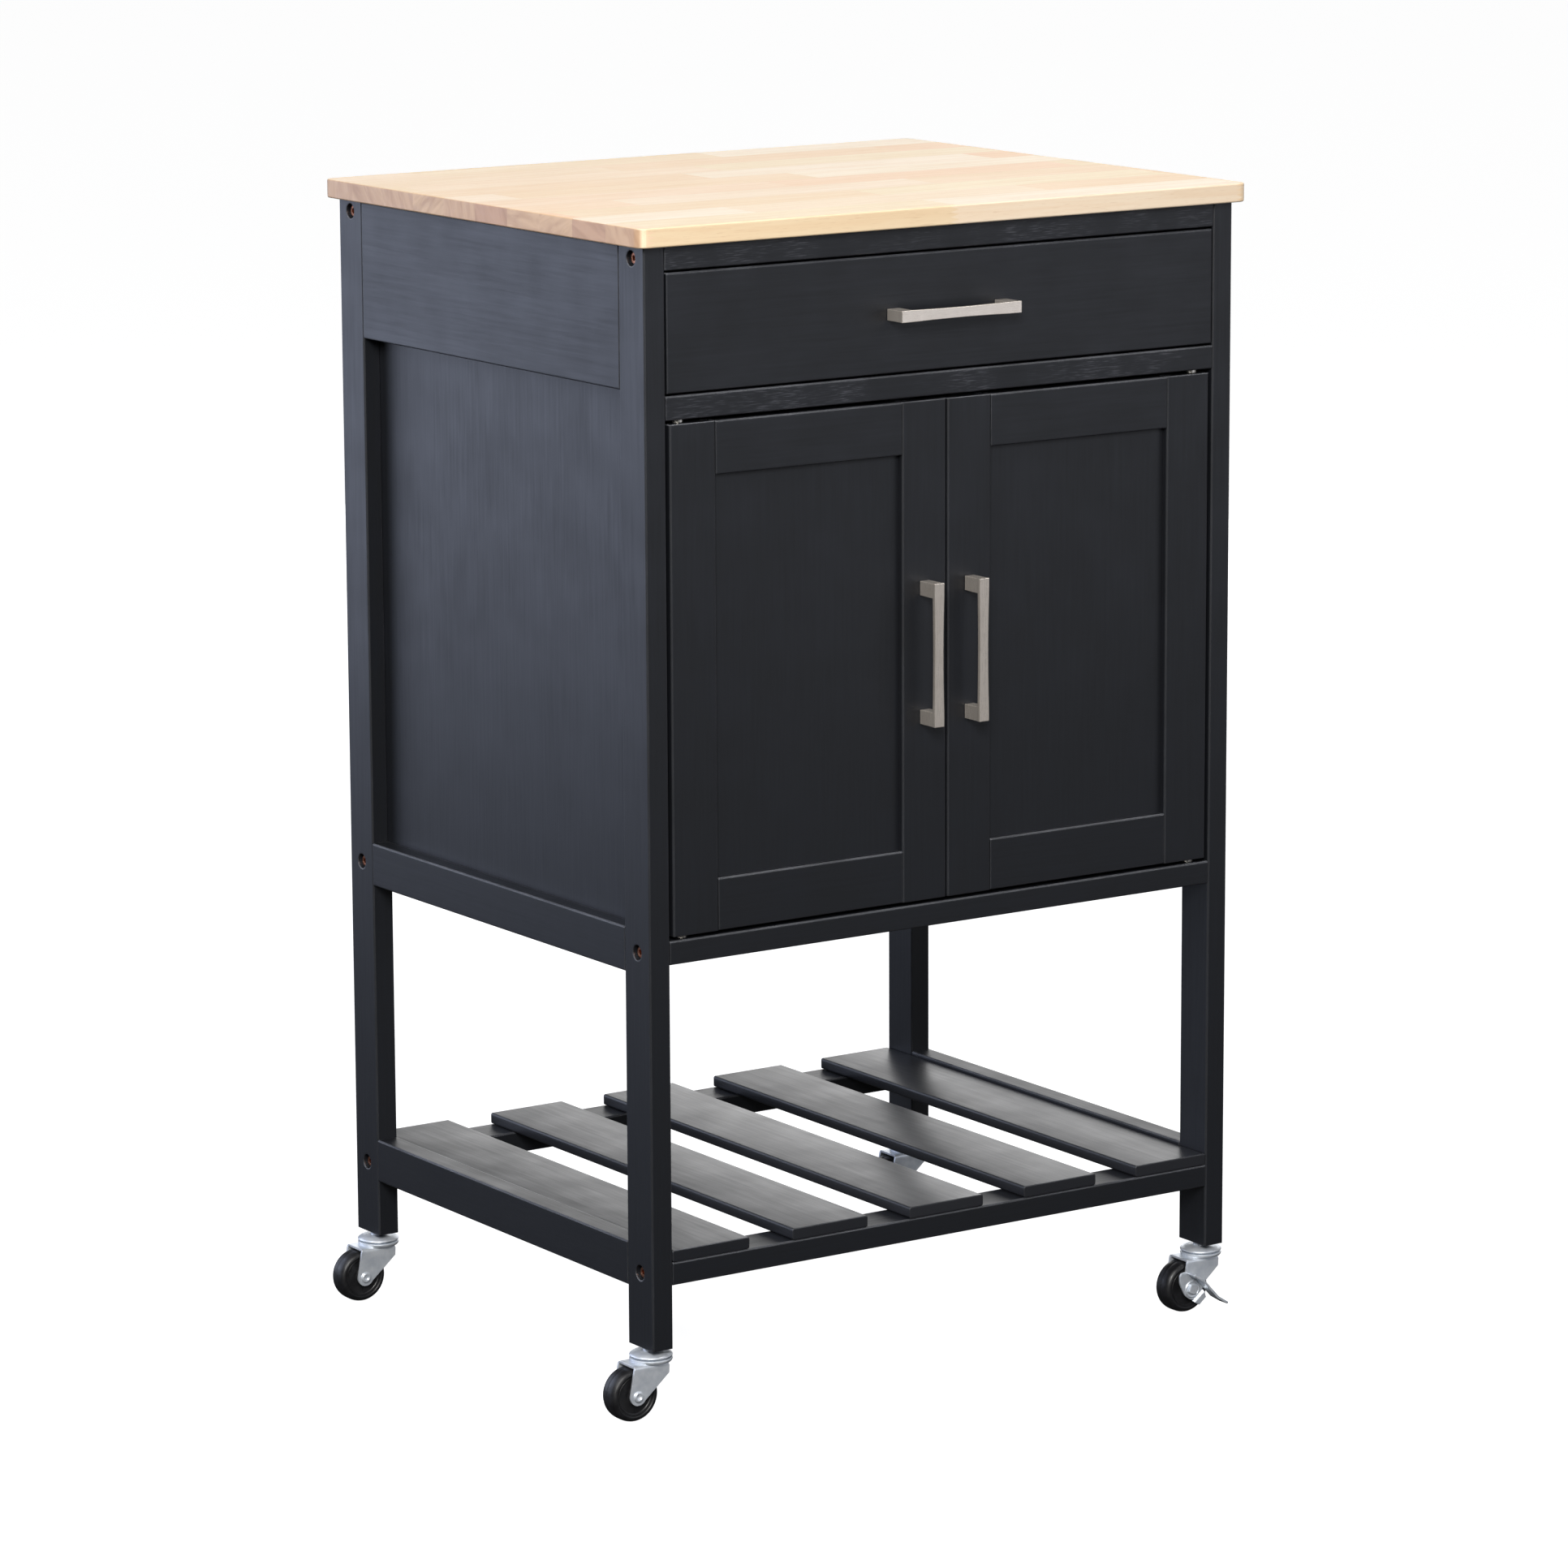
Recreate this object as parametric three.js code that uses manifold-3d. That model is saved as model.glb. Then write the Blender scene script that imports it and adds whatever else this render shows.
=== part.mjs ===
// A rolling kitchen cart: a butcher-block worktop on four timber legs, one drawer over a two-door
// cabinet, an open slatted shelf below, and four swivel casters, one of them with a foot brake.
// Millimetres, +Z up, front towards -Y. Every stick, panel and fitting is its own closed solid.
import * as THREE from "three";
import { mergeVertices } from "three/addons/utils/BufferGeometryUtils.js";
import Module from "manifold-3d";

const wasm = await Module();
wasm.setup();

// Overall sizes
const height = 900;
const frameWidth = 540;
const frameDepth = 438;

// Worktop
const topThick = 15;
const topOverhang = 9;
const topCorner = 9;
const topEase = 1.5;

// Timber sections
const legThick = 18;
const legDeep = 34;
const railHigh = 18;
const sideTopRailHigh = 107;
const sideBottomRailHigh = 34;
const edgeBevel = 0.8;
const clearance = 0.3;

// Levels of the front openings and of the shelf
const drawerOpening = 92;
const cabinetFloorZ = 368;
const sideBottomRailZ = 342;
const shelfTopZ = 131;
const shelfSideRailZ = 100;
const slatThick = 9;
const slatCount = 5;
const slatWidth = 69;

// Panels let into rebates and grooves
const sidePanelThick = 3.4;
const panelRebate = 8;
const backPanelThick = 3.4;
const backPanelInset = 14;
const floorThick = 5;

// Drawer
const drawerGap = 1.7;
const drawerFrontThick = 18;
const drawerSideThick = 11;
const drawerBoxHigh = 75;
const drawerBoxLong = 360;
const drawerBottomThick = 4;
const drawerGroove = 5;
const runnerThick = 10;
const runnerHigh = 37;
const runnerFlange = 14;
const drawerPlay = 1;

// Doors
const doorThick = 17;
const doorFrameWidth = 40;
const doorSwingSpare = 0.7;
const doorCentreGap = 1.6;
const doorEndGap = 3;
const doorPanelThick = 5;
const doorPanelInset = 5.5;
const doorGroove = 7;
const pivotInset = 11.5;
const pivotRadius = 2.5;
const pivotDepth = 11;
const runningFit = 0.05;

// Pulls
const pullLong = 110;
const pullWide = 9;
const pullReach = 20;
const pullPost = 13;
const pullBar = 4.2;

// Bolts that hold the rail ends, seen only as holes in the legs
const boltHole = 3.3;
const boltCounterbore = 6;
const boltCounterboreDeep = 7;

// Casters
const wheelRadius = 20.75;
const wheelWide = 18;
const trail = 19;
const axleRadius = 3;
const stemRadius = 4;
const stemLong = 38;
const raceRadius = 16.5;
const raceHigh = 7.3;
const stemCollar = 3.4;
const wheelGap = 1;
const forkWide = 24;
const forkSheet = 1.8;

// The gap beside a leg lets the door's back corner swing past it, and the legs start where the
// casters end
const doorOuterGap = Math.hypot(pivotInset, doorThick / 2) - pivotInset + doorSwingSpare;
const forkTop = 2 * wheelRadius + wheelGap;
const plateTop = forkTop + forkSheet;
const raceTop = plateTop + raceHigh;
const casterHeight = raceTop + stemCollar;

// Positions that follow from the sizes
const halfW = frameWidth / 2;
const halfD = frameDepth / 2;
const innerX = halfW - legThick;
const innerY = halfD - legDeep;
const frameTop = height - topThick;
const topRailZ = frameTop - railHigh;
const midRailTop = topRailZ - drawerOpening;
const midRailZ = midRailTop - railHigh;
const bottomRailZ = cabinetFloorZ - railHigh;
const slatZ = shelfTopZ - slatThick;
const sideTopRailZ = frameTop - sideTopRailHigh;
const sideBottomRailTop = sideBottomRailZ + sideBottomRailHigh;
const legMidY = halfD - legDeep / 2;
const legMidX = halfW - legThick / 2;
const pivotX = innerX - doorOuterGap - pivotInset;
const pivotY = -halfD + doorThick / 2;

function finish(color, roughness, metalness) {
  return new THREE.MeshStandardMaterial({ color, roughness, metalness });
}
const blockWood = finish(0xf3d9b4, 0.5, 0);
const blackPaint = finish(0x2c2d31, 0.45, 0);
const paleWood = finish(0xd9bf97, 0.6, 0);
const nickel = finish(0xa59c94, 0.35, 1);
const zinc = finish(0xb4bcc6, 0.3, 1);
const steel = finish(0x9a9ca0, 0.35, 1);
const rubber = finish(0x17171a, 0.65, 0);

const cart = new THREE.Group();

function add(name, geometry, material, x, y, z) {
  const mesh = new THREE.Mesh(geometry, material);
  mesh.name = name;
  mesh.position.set(x, y, z);
  cart.add(mesh);
  return mesh;
}

// Turns a shape drawn in two axes and extruded along the third into place: along x the shape's
// axes are y and z, along y they are z and x, and along z they are x and y.
const axisX = new THREE.Vector3(1, 0, 0);
const axisY = new THREE.Vector3(0, 1, 0);
const axisZ = new THREE.Vector3(0, 0, 1);
const turn = {
  x: new THREE.Matrix4().makeBasis(axisY, axisZ, axisX),
  y: new THREE.Matrix4().makeBasis(axisZ, axisX, axisY),
  z: new THREE.Matrix4().makeBasis(axisX, axisY, axisZ),
};

function outline(points) {
  return new THREE.Shape(points.map(([u, v]) => new THREE.Vector2(u, v)));
}

// A prism of the given outline, centred along its length.
function prism(points, length, along) {
  const geometry = new THREE.ExtrudeGeometry(outline(points), { depth: length, bevelEnabled: false });
  geometry.translate(0, 0, -length / 2);
  return geometry.applyMatrix4(turn[along]);
}

// A rectangle with its four corners cut off at 45 degrees, centred on zero.
function eased(w, h, cut) {
  const a = w / 2;
  const b = h / 2;
  return [
    [-a + cut, -b], [a - cut, -b], [a, -b + cut], [a, b - cut],
    [a - cut, b], [-a + cut, b], [-a, b - cut], [-a, -b + cut],
  ];
}

// A straight stick or sheet between two levels on each axis, its long edges eased.
function board(name, material, xs, ys, zs, along, bevel = edgeBevel) {
  const size = { x: xs[1] - xs[0], y: ys[1] - ys[0], z: zs[1] - zs[0] };
  const [u, v] = { x: ["y", "z"], y: ["z", "x"], z: ["x", "y"] }[along];
  const geometry = prism(eased(size[u], size[v], bevel), size[along], along);
  const middle = [xs, ys, zs].map(([low, high]) => (low + high) / 2);
  return add(name, geometry, material, ...middle);
}

function rod(radius, length, along, sides = 20) {
  const points = [];
  for (let i = 0; i < sides; i += 1) {
    const a = (i / sides) * Math.PI * 2;
    points.push([radius * Math.cos(a), radius * Math.sin(a)]);
  }
  return prism(points, length, along);
}

function turned(profile, sides = 24) {
  const points = profile.map(([r, h]) => new THREE.Vector2(r, h));
  const geometry = new THREE.LatheGeometry(points, sides);
  return geometry.rotateX(Math.PI / 2);
}

// Solids for joining and cutting
function solid(geometry) {
  const bare = geometry.index ? geometry.toNonIndexed() : geometry.clone();
  bare.deleteAttribute("normal");
  bare.deleteAttribute("uv");
  const merged = mergeVertices(bare, 1e-4);
  const data = {
    numProp: 3,
    vertProperties: merged.attributes.position.array,
    triVerts: new Uint32Array(merged.index.array),
  };
  return new wasm.Manifold(new wasm.Mesh(data));
}

function surface(body) {
  const mesh = body.getMesh();
  const geometry = new THREE.BufferGeometry();
  geometry.setAttribute("position", new THREE.BufferAttribute(new Float32Array(mesh.vertProperties), 3));
  geometry.setIndex(new THREE.BufferAttribute(new Uint32Array(mesh.triVerts), 1));
  geometry.computeVertexNormals();
  return geometry;
}

// A cutting or joining block between two levels on each axis
function block(xs, ys, zs) {
  const geometry = new THREE.BoxGeometry(xs[1] - xs[0], ys[1] - ys[0], zs[1] - zs[0]);
  return solid(geometry.translate((xs[0] + xs[1]) / 2, (ys[0] + ys[1]) / 2, (zs[0] + zs[1]) / 2));
}

// Worktop: one glued board with rounded corners and eased edges
const topHalfW = halfW + topOverhang;
const topHalfD = halfD + topOverhang;
const topOutline = new THREE.Shape();
topOutline.moveTo(-topHalfW + topCorner, -topHalfD);
for (const [cx, cy, from] of [[1, -1, -0.5], [1, 1, 0], [-1, 1, 0.5], [-1, -1, 1]]) {
  const x = cx * (topHalfW - topCorner);
  const y = cy * (topHalfD - topCorner);
  topOutline.absarc(x, y, topCorner, from * Math.PI, (from + 0.5) * Math.PI, false);
}
const topBoard = new THREE.ExtrudeGeometry(topOutline, {
  depth: topThick - clearance - 2 * topEase,
  bevelThickness: topEase,
  bevelSize: topEase,
  bevelOffset: -topEase,
  bevelSegments: 1,
  curveSegments: 5,
});
add("worktop", topBoard, blockWood, 0, 0, frameTop + clearance + topEase);

// Legs: bored for the caster stems and the rail bolts, rebated for the side panels
const boltLevels = [frameTop - railHigh / 2, cabinetFloorZ - railHigh / 2, slatZ - railHigh / 2];
const legLong = frameTop - casterHeight;
const rebateX = sidePanelThick + 2 * clearance;
const rebateLow = sideBottomRailTop - panelRebate;
const rebateHigh = sideTopRailZ + panelRebate;
for (const [side, sx] of [["left", -1], ["right", 1]]) {
  for (const [end, sy] of [["front", -1], ["back", 1]]) {
    let leg = solid(prism(eased(legThick, legDeep, edgeBevel), legLong, "z"));
    const legMid = casterHeight + legLong / 2;
    for (const level of boltLevels) {
      const bore = rod(boltHole, legThick + 2, "x", 12).translate(0, 0, level - legMid);
      const mouth = rod(boltCounterbore, 2 * boltCounterboreDeep, "x");
      mouth.translate((sx * legThick) / 2, 0, level - legMid);
      leg = leg.subtract(solid(bore)).subtract(solid(mouth));
    }
    const socket = rod(stemRadius + runningFit, 2 * (stemLong + 2), "z");
    leg = leg.subtract(solid(socket.translate(0, 0, -legLong / 2)));
    const inside = -sx * (legThick / 2);
    const edge = -sy * (legDeep / 2);
    const rebate = block(
      [Math.min(inside + sx * rebateX, inside - sx), Math.max(inside + sx * rebateX, inside - sx)],
      [Math.min(edge + sy * panelRebate, edge - sy), Math.max(edge + sy * panelRebate, edge - sy)],
      [rebateLow - legMid, rebateHigh - legMid],
    );
    leg = leg.subtract(rebate);
    add(`leg_${end}_${side}`, surface(leg), blackPaint, sx * legMidX, sy * legMidY, legMid);
  }
}

// Side frames: the legs are the stiles, with a deep top rail, a bottom rail and a thin panel
const railSpanY = 2 * (innerY - clearance);
for (const [side, sx] of [["left", -1], ["right", 1]]) {
  const lip = rebateX;
  const rails = [
    ["top", sideTopRailZ, sideTopRailHigh, -1],
    ["bottom", sideBottomRailZ, sideBottomRailHigh, 1],
  ];
  for (const [level, low, high, facing] of rails) {
    // drawn with z first and x second, the rebate on the inner edge that faces the panel
    const a = high / 2 - (level === "top" ? clearance : 0);
    const b = legThick / 2;
    const cut = edgeBevel;
    const points = [
      [-a + cut, b], [-a, b - cut], [-a, -b + cut], [-a + cut, -b],
      [a - panelRebate, -b], [a - panelRebate, -b + lip], [a, -b + lip], [a, b - cut], [a - cut, b],
    ];
    const placed = points.map(([u, v]) => [u * facing, v * sx]);
    if (facing * sx > 0) placed.reverse();
    const geometry = prism(placed, railSpanY, "y");
    const shift = level === "top" ? -clearance : 0;
    add(`side_${level}_rail_${side}`, geometry, blackPaint, sx * legMidX, 0, low + high / 2 + shift);
  }
  const panelX = sx * (innerX + clearance + sidePanelThick / 2);
  const halfPanel = innerY + panelRebate - clearance;
  board(
    `side_panel_${side}`,
    blackPaint,
    [panelX - sidePanelThick / 2, panelX + sidePanelThick / 2],
    [-halfPanel, halfPanel],
    [rebateLow + clearance, rebateHigh - clearance],
    "z",
    0.2,
  );
}

// Front and back rails between the legs. The two bottom rails carry the cabinet floor in a rebate,
// and the middle and bottom front rails are bored for the door pivots.
const railX = [-innerX + clearance, innerX - clearance];
const frontY = [-halfD, -innerY];
const backY = [innerY, halfD];
board("front_top_rail", blackPaint, railX, frontY, [topRailZ, frameTop], "x");
board("back_top_rail", blackPaint, railX, backY, [topRailZ, frameTop], "x");

const floorLip = floorThick + clearance;
function floorRail(facing) {
  const a = (legDeep / 2) * facing;
  const b = railHigh / 2;
  const inner = a - panelRebate * facing;
  const cut = edgeBevel * facing;
  const points = [
    [-a + cut, -b], [a, -b], [a, b - floorLip], [inner, b - floorLip], [inner, b],
    [-a + cut, b], [-a, b - edgeBevel], [-a, -b + edgeBevel],
  ];
  if (facing < 0) points.reverse();
  return prism(points, railX[1] - railX[0], "x");
}
const boredRails = [
  ["front_mid_rail", prism(eased(legDeep, railHigh, edgeBevel), railX[1] - railX[0], "x"), midRailZ, -1],
  ["front_bottom_rail", floorRail(1), bottomRailZ, 1],
];
for (const [name, geometry, low, up] of boredRails) {
  let rail = solid(geometry);
  for (const sx of [-1, 1]) {
    const hole = rod(pivotRadius + runningFit, 2 * pivotDepth, "z");
    hole.translate(sx * pivotX, pivotY + legMidY, up * (railHigh / 2));
    rail = rail.subtract(solid(hole));
  }
  add(name, surface(rail), blackPaint, 0, -legMidY, low + railHigh / 2);
}
add("back_bottom_rail", floorRail(-1), blackPaint, 0, legMidY, bottomRailZ + railHigh / 2);

const backPanelY = halfD - backPanelInset;
board(
  "back_panel",
  blackPaint,
  railX,
  [backPanelY - backPanelThick, backPanelY],
  [cabinetFloorZ + clearance, topRailZ - clearance],
  "z",
  0.2,
);
const floorHalf = innerY + panelRebate - clearance;
const floorX = [-innerX + clearance, innerX - clearance];
const floorZ = [cabinetFloorZ - floorThick, cabinetFloorZ];
board("cabinet_floor", blackPaint, floorX, [-floorHalf, floorHalf], floorZ, "x", 0.2);

// Lower shelf: four rails between the legs and five slats laid across the front and back rails
board("shelf_front_rail", blackPaint, railX, frontY, [slatZ - railHigh, slatZ - clearance], "x");
board("shelf_back_rail", blackPaint, railX, backY, [slatZ - railHigh, slatZ - clearance], "x");
for (const [side, sx] of [["left", -1], ["right", 1]]) {
  board(
    `shelf_side_rail_${side}`,
    blackPaint,
    [sx * legMidX - legThick / 2, sx * legMidX + legThick / 2],
    [-innerY + clearance, innerY - clearance],
    [shelfSideRailZ, shelfSideRailZ + sideBottomRailHigh],
    "y",
  );
}
const slatSpan = 2 * (innerX - clearance);
const slatPitch = (slatSpan - slatWidth) / (slatCount - 1);
for (let i = 0; i < slatCount; i += 1) {
  const x = -innerX + clearance + slatWidth / 2 + i * slatPitch;
  const xs = [x - slatWidth / 2, x + slatWidth / 2];
  board(`shelf_slat_${i + 1}`, blackPaint, xs, [-halfD, halfD], [slatZ, shelfTopZ], "y");
}

// Drawer runners: an L of timber on each side rail, the drawer's sides ride on its flange
const drawerBottomZ = midRailTop + drawerGap + clearance;
const runnerTop = drawerBottomZ + 23;
const runnerLow = runnerTop - runnerHigh;
const flangeTop = drawerBottomZ - clearance;
const runnerOut = innerX - clearance;
for (const [side, sx] of [["left", -1], ["right", 1]]) {
  const corner = [(runnerLow + runnerTop) / 2, runnerOut - (runnerThick + runnerFlange) / 2];
  const points = [
    [runnerLow, runnerOut - runnerThick - runnerFlange],
    [flangeTop, runnerOut - runnerThick - runnerFlange],
    [flangeTop, runnerOut - runnerThick],
    [runnerTop, runnerOut - runnerThick],
    [runnerTop, runnerOut],
    [runnerLow, runnerOut],
  ].map(([z, x]) => [z - corner[0], (x - corner[1]) * sx]);
  if (sx < 0) points.reverse();
  const geometry = prism(points, railSpanY, "y");
  add(`drawer_runner_${side}`, geometry, paleWood, sx * corner[1], 0, corner[0]);
}

// Drawer: front, two grooved sides, back and a thin bottom held in the grooves
const drawerHalf = innerX - drawerGap;
const drawerFrontZ = [midRailTop + drawerGap, topRailZ - drawerGap];
const boxFrontY = -halfD + drawerFrontThick + clearance;
const boxBackY = boxFrontY + drawerBoxLong;
const boxTop = drawerBottomZ + drawerBoxHigh;
const sideOut = runnerOut - runnerThick - drawerPlay;
const sideIn = sideOut - drawerSideThick;
const bottomZ = drawerBottomZ + 7;
board(
  "drawer_front",
  blackPaint,
  [-drawerHalf, drawerHalf],
  [-halfD, -halfD + drawerFrontThick],
  drawerFrontZ,
  "x",
);
for (const [side, sx] of [["left", -1], ["right", 1]]) {
  const grooveX = sideIn + drawerGroove;
  const points = [
    [drawerBottomZ, sideIn], [bottomZ - clearance, sideIn], [bottomZ - clearance, grooveX],
    [bottomZ + drawerBottomThick + clearance, grooveX],
    [bottomZ + drawerBottomThick + clearance, sideIn],
    [boxTop - 1, sideIn], [boxTop, sideIn + 1], [boxTop, sideOut - 1], [boxTop - 1, sideOut],
    [drawerBottomZ, sideOut],
  ].map(([z, x]) => [z - (drawerBottomZ + boxTop) / 2, (x - (sideIn + sideOut) / 2) * sx]);
  if (sx < 0) points.reverse();
  const geometry = prism(points, drawerBoxLong, "y");
  const x = (sx * (sideIn + sideOut)) / 2;
  const y = (boxFrontY + boxBackY) / 2;
  add(`drawer_side_${side}`, geometry, paleWood, x, y, (drawerBottomZ + boxTop) / 2);
}
board(
  "drawer_back",
  paleWood,
  [-sideIn + clearance, sideIn - clearance],
  [boxBackY - drawerSideThick, boxBackY],
  [bottomZ + drawerBottomThick + clearance, boxTop],
  "x",
);
const bottomHalf = sideIn + drawerGroove - clearance;
board(
  "drawer_bottom",
  paleWood,
  [-bottomHalf, bottomHalf],
  [boxFrontY, boxBackY],
  [bottomZ, bottomZ + drawerBottomThick],
  "y",
  0.2,
);

// Pull: a flat bar on two square posts, drawn from the side (length, reach) and cut to width
function pullGeometry(along) {
  const a = pullLong / 2;
  const b = a - pullPost;
  const inner = pullReach - pullBar;
  const shape = new THREE.Shape();
  shape.moveTo(-a + 0.6, clearance);
  shape.lineTo(-b, clearance);
  shape.lineTo(-b, inner - 5);
  shape.quadraticCurveTo(-b, inner - 1, -b + 7, inner - 0.6);
  shape.quadraticCurveTo(0, inner + 0.8, b - 7, inner - 0.6);
  shape.quadraticCurveTo(b, inner - 1, b, inner - 5);
  shape.lineTo(b, clearance);
  shape.lineTo(a - 0.6, clearance);
  shape.lineTo(a, pullReach - 1);
  shape.lineTo(a - 1, pullReach);
  shape.lineTo(-a + 1, pullReach);
  shape.lineTo(-a, pullReach - 1);
  const geometry = new THREE.ExtrudeGeometry(shape, {
    depth: pullWide,
    bevelEnabled: false,
    curveSegments: 4,
  });
  geometry.translate(0, 0, -pullWide / 2);
  // reach points out of the front, the length lies along x or stands along z
  const out = new THREE.Vector3(0, -1, 0);
  const down = axisZ.clone().negate();
  const basis = along === "x" ? [axisX, out, down] : [axisZ, out, axisX];
  return geometry.applyMatrix4(new THREE.Matrix4().makeBasis(...basis));
}
const drawerMidZ = (drawerFrontZ[0] + drawerFrontZ[1]) / 2;
add("drawer_pull", pullGeometry("x"), nickel, 0, -halfD, drawerMidZ);

// Doors: two stiles and two rails grooved round a flat panel, on pivot pins at the outer stile
const doorLow = cabinetFloorZ + doorEndGap;
const doorHigh = midRailZ - doorEndGap;
const doorOuter = innerX - doorOuterGap;
const doorInner = doorCentreGap / 2;
const doorMidZ = (doorLow + doorHigh) / 2;
const grooveLow = doorPanelInset - clearance - doorThick / 2;
const grooveHigh = doorPanelInset + doorPanelThick + clearance - doorThick / 2;

// One grooved stick in section: u across the stick towards the panel, v through the thickness
function grooved(width, thick) {
  const a = width / 2;
  const b = thick / 2;
  const c = edgeBevel;
  return [
    [-a + c, -b], [a - c, -b], [a, -b + c], [a, grooveLow], [a - doorGroove, grooveLow],
    [a - doorGroove, grooveHigh], [a, grooveHigh], [a, b - c], [a - c, b], [-a + c, b],
    [-a, b - c], [-a, -b + c],
  ];
}

for (const [side, sx] of [["left", -1], ["right", 1]]) {
  const stiles = [
    ["outer", sx * (doorOuter - doorFrameWidth / 2), -sx],
    ["inner", sx * (doorInner + doorFrameWidth / 2), sx],
  ];
  const y = -halfD + doorThick / 2;
  for (const [which, x, facing] of stiles) {
    const points = grooved(doorFrameWidth, doorThick).map(([u, v]) => [u * facing, v]);
    if (facing < 0) points.reverse();
    let geometry = prism(points, doorHigh - doorLow, "z");
    if (which === "outer") {
      let stile = solid(geometry);
      for (const end of [doorLow - doorMidZ, doorHigh - doorMidZ]) {
        const hole = rod(pivotRadius + runningFit, 2 * pivotDepth, "z");
        stile = stile.subtract(solid(hole.translate(sx * pivotX - x, pivotY - y, end)));
      }
      geometry = surface(stile);
    }
    add(`door_${side}_${which}_stile`, geometry, blackPaint, x, y, doorMidZ);
  }
  const railLow = doorInner + doorFrameWidth + clearance;
  const railHighX = doorOuter - doorFrameWidth - clearance;
  const railMid = (sx * (railLow + railHighX)) / 2;
  const rails = [
    ["top", doorHigh - doorFrameWidth / 2, -1],
    ["bottom", doorLow + doorFrameWidth / 2, 1],
  ];
  for (const [which, z, facing] of rails) {
    const points = grooved(doorFrameWidth, doorThick).map(([u, v]) => [v, u * facing]);
    if (facing > 0) points.reverse();
    const geometry = prism(points, railHighX - railLow, "x");
    add(`door_${side}_${which}_rail`, geometry, blackPaint, railMid, y, z);
  }
  const reach = doorGroove - clearance;
  const ends = [sx * (railLow - clearance - reach), sx * (railHighX + clearance + reach)];
  const front = -halfD + doorPanelInset;
  board(
    `door_${side}_panel`,
    blackPaint,
    [Math.min(...ends), Math.max(...ends)],
    [front, front + doorPanelThick],
    [doorLow + doorFrameWidth - reach, doorHigh - doorFrameWidth + reach],
    "z",
    0.2,
  );
  const pullX = sx * (doorInner + doorFrameWidth / 2);
  add(`door_${side}_pull`, pullGeometry("z"), nickel, pullX, -halfD, doorMidZ);
}

// Pivot pins: a shouldered pin at the top and bottom of each outer stile, its shoulder is the
// washer that the door turns on
const shoulder = (doorEndGap - 2 * clearance) / 2;
const pinProfile = [
  [0, -pivotDepth + 0.5], [pivotRadius, -pivotDepth + 0.5], [pivotRadius, -shoulder],
  [2 * pivotRadius, -shoulder], [2 * pivotRadius, shoulder], [pivotRadius, shoulder],
  [pivotRadius, pivotDepth - 0.5], [0, pivotDepth - 0.5],
];
for (const [side, sx] of [["left", -1], ["right", 1]]) {
  const levels = [["top", doorHigh + doorEndGap / 2], ["bottom", doorLow - doorEndGap / 2]];
  for (const [which, z] of levels) {
    add(`pivot_pin_${side}_${which}`, turned(pinProfile, 20), steel, sx * pivotX, pivotY, z);
  }
}

// Casters: a pressed fork under a double ball race with its stem in the leg, and a wheel that
// turns on the rivet. The origin of each is on the stem's axis at floor level.
const cheekIn = forkWide / 2 - forkSheet;

function forkGeometry(braked) {
  const parts = [];
  const stemHigh = casterHeight + stemLong - raceTop;
  parts.push(solid(rod(stemRadius, stemHigh, "z").translate(0, 0, raceTop + stemHigh / 2 - 1)));
  const race = turned([
    [0, plateTop - 1], [raceRadius - 2, plateTop - 1], [raceRadius, plateTop + 1.4],
    [raceRadius - 3, plateTop + 2.7], [raceRadius - 3, plateTop + 3.5], [raceRadius, plateTop + 4.4],
    [raceRadius - 4, raceTop], [stemRadius + 2, raceTop], [stemRadius + 2, casterHeight - clearance],
    [0, casterHeight - clearance],
  ]);
  parts.push(solid(race));
  const plate = new THREE.Shape();
  plate.moveTo(-trail - 3, -forkWide / 2);
  plate.lineTo(2, -forkWide / 2);
  plate.absarc(1, 0, forkWide / 2 + 1, -0.45 * Math.PI, 0.45 * Math.PI, false);
  plate.lineTo(2, forkWide / 2);
  plate.lineTo(-trail - 3, forkWide / 2);
  const pressed = { depth: forkSheet, bevelEnabled: false, curveSegments: 5 };
  const sheet = new THREE.ExtrudeGeometry(plate, pressed);
  parts.push(solid(sheet.translate(0, 0, forkTop)));
  for (const sy of [-1, 1]) {
    const cheek = new THREE.Shape();
    cheek.moveTo(-trail - 3, plateTop - 0.4);
    cheek.lineTo(-trail - 7, wheelRadius);
    cheek.absarc(-trail, wheelRadius, 7, Math.PI, 1.83 * Math.PI, false);
    cheek.lineTo(8.5, forkTop - 7);
    cheek.lineTo(9, plateTop - 0.4);
    const side = new THREE.ExtrudeGeometry(cheek, pressed);
    side.rotateX(Math.PI / 2);
    const y = sy > 0 ? forkWide / 2 : -cheekIn;
    parts.push(solid(side.translate(0, y, 0)));
  }
  const outer = braked ? forkWide / 2 + 2.6 : forkWide / 2;
  const heads = [-outer - 0.8, forkWide / 2 + 0.8];
  const shank = rod(axleRadius, heads[1] - heads[0], "y");
  parts.push(solid(shank.translate(-trail, (heads[0] + heads[1]) / 2, wheelRadius)));
  for (const y of heads) {
    parts.push(solid(rod(axleRadius + 1.3, 1.6, "y").translate(-trail, y, wheelRadius)));
  }
  return surface(parts.reduce((whole, part) => whole.add(part)));
}

// Wheel: a hard hub with sunk faces in a rubber tyre with rounded shoulders
const w = wheelWide / 2;
const bore = axleRadius + runningFit;
const wheelProfile = [
  [bore, -w + 2], [wheelRadius - 5, -w + 2], [wheelRadius - 4.4, -w + 0.3],
  [wheelRadius - 1.6, -w + 1.4], [wheelRadius, -w + 5], [wheelRadius, w - 5],
  [wheelRadius - 1.6, w - 1.4], [wheelRadius - 4.4, w - 0.3], [wheelRadius - 5, w - 2],
  [bore, w - 2], [bore, -w + 2],
];

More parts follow.
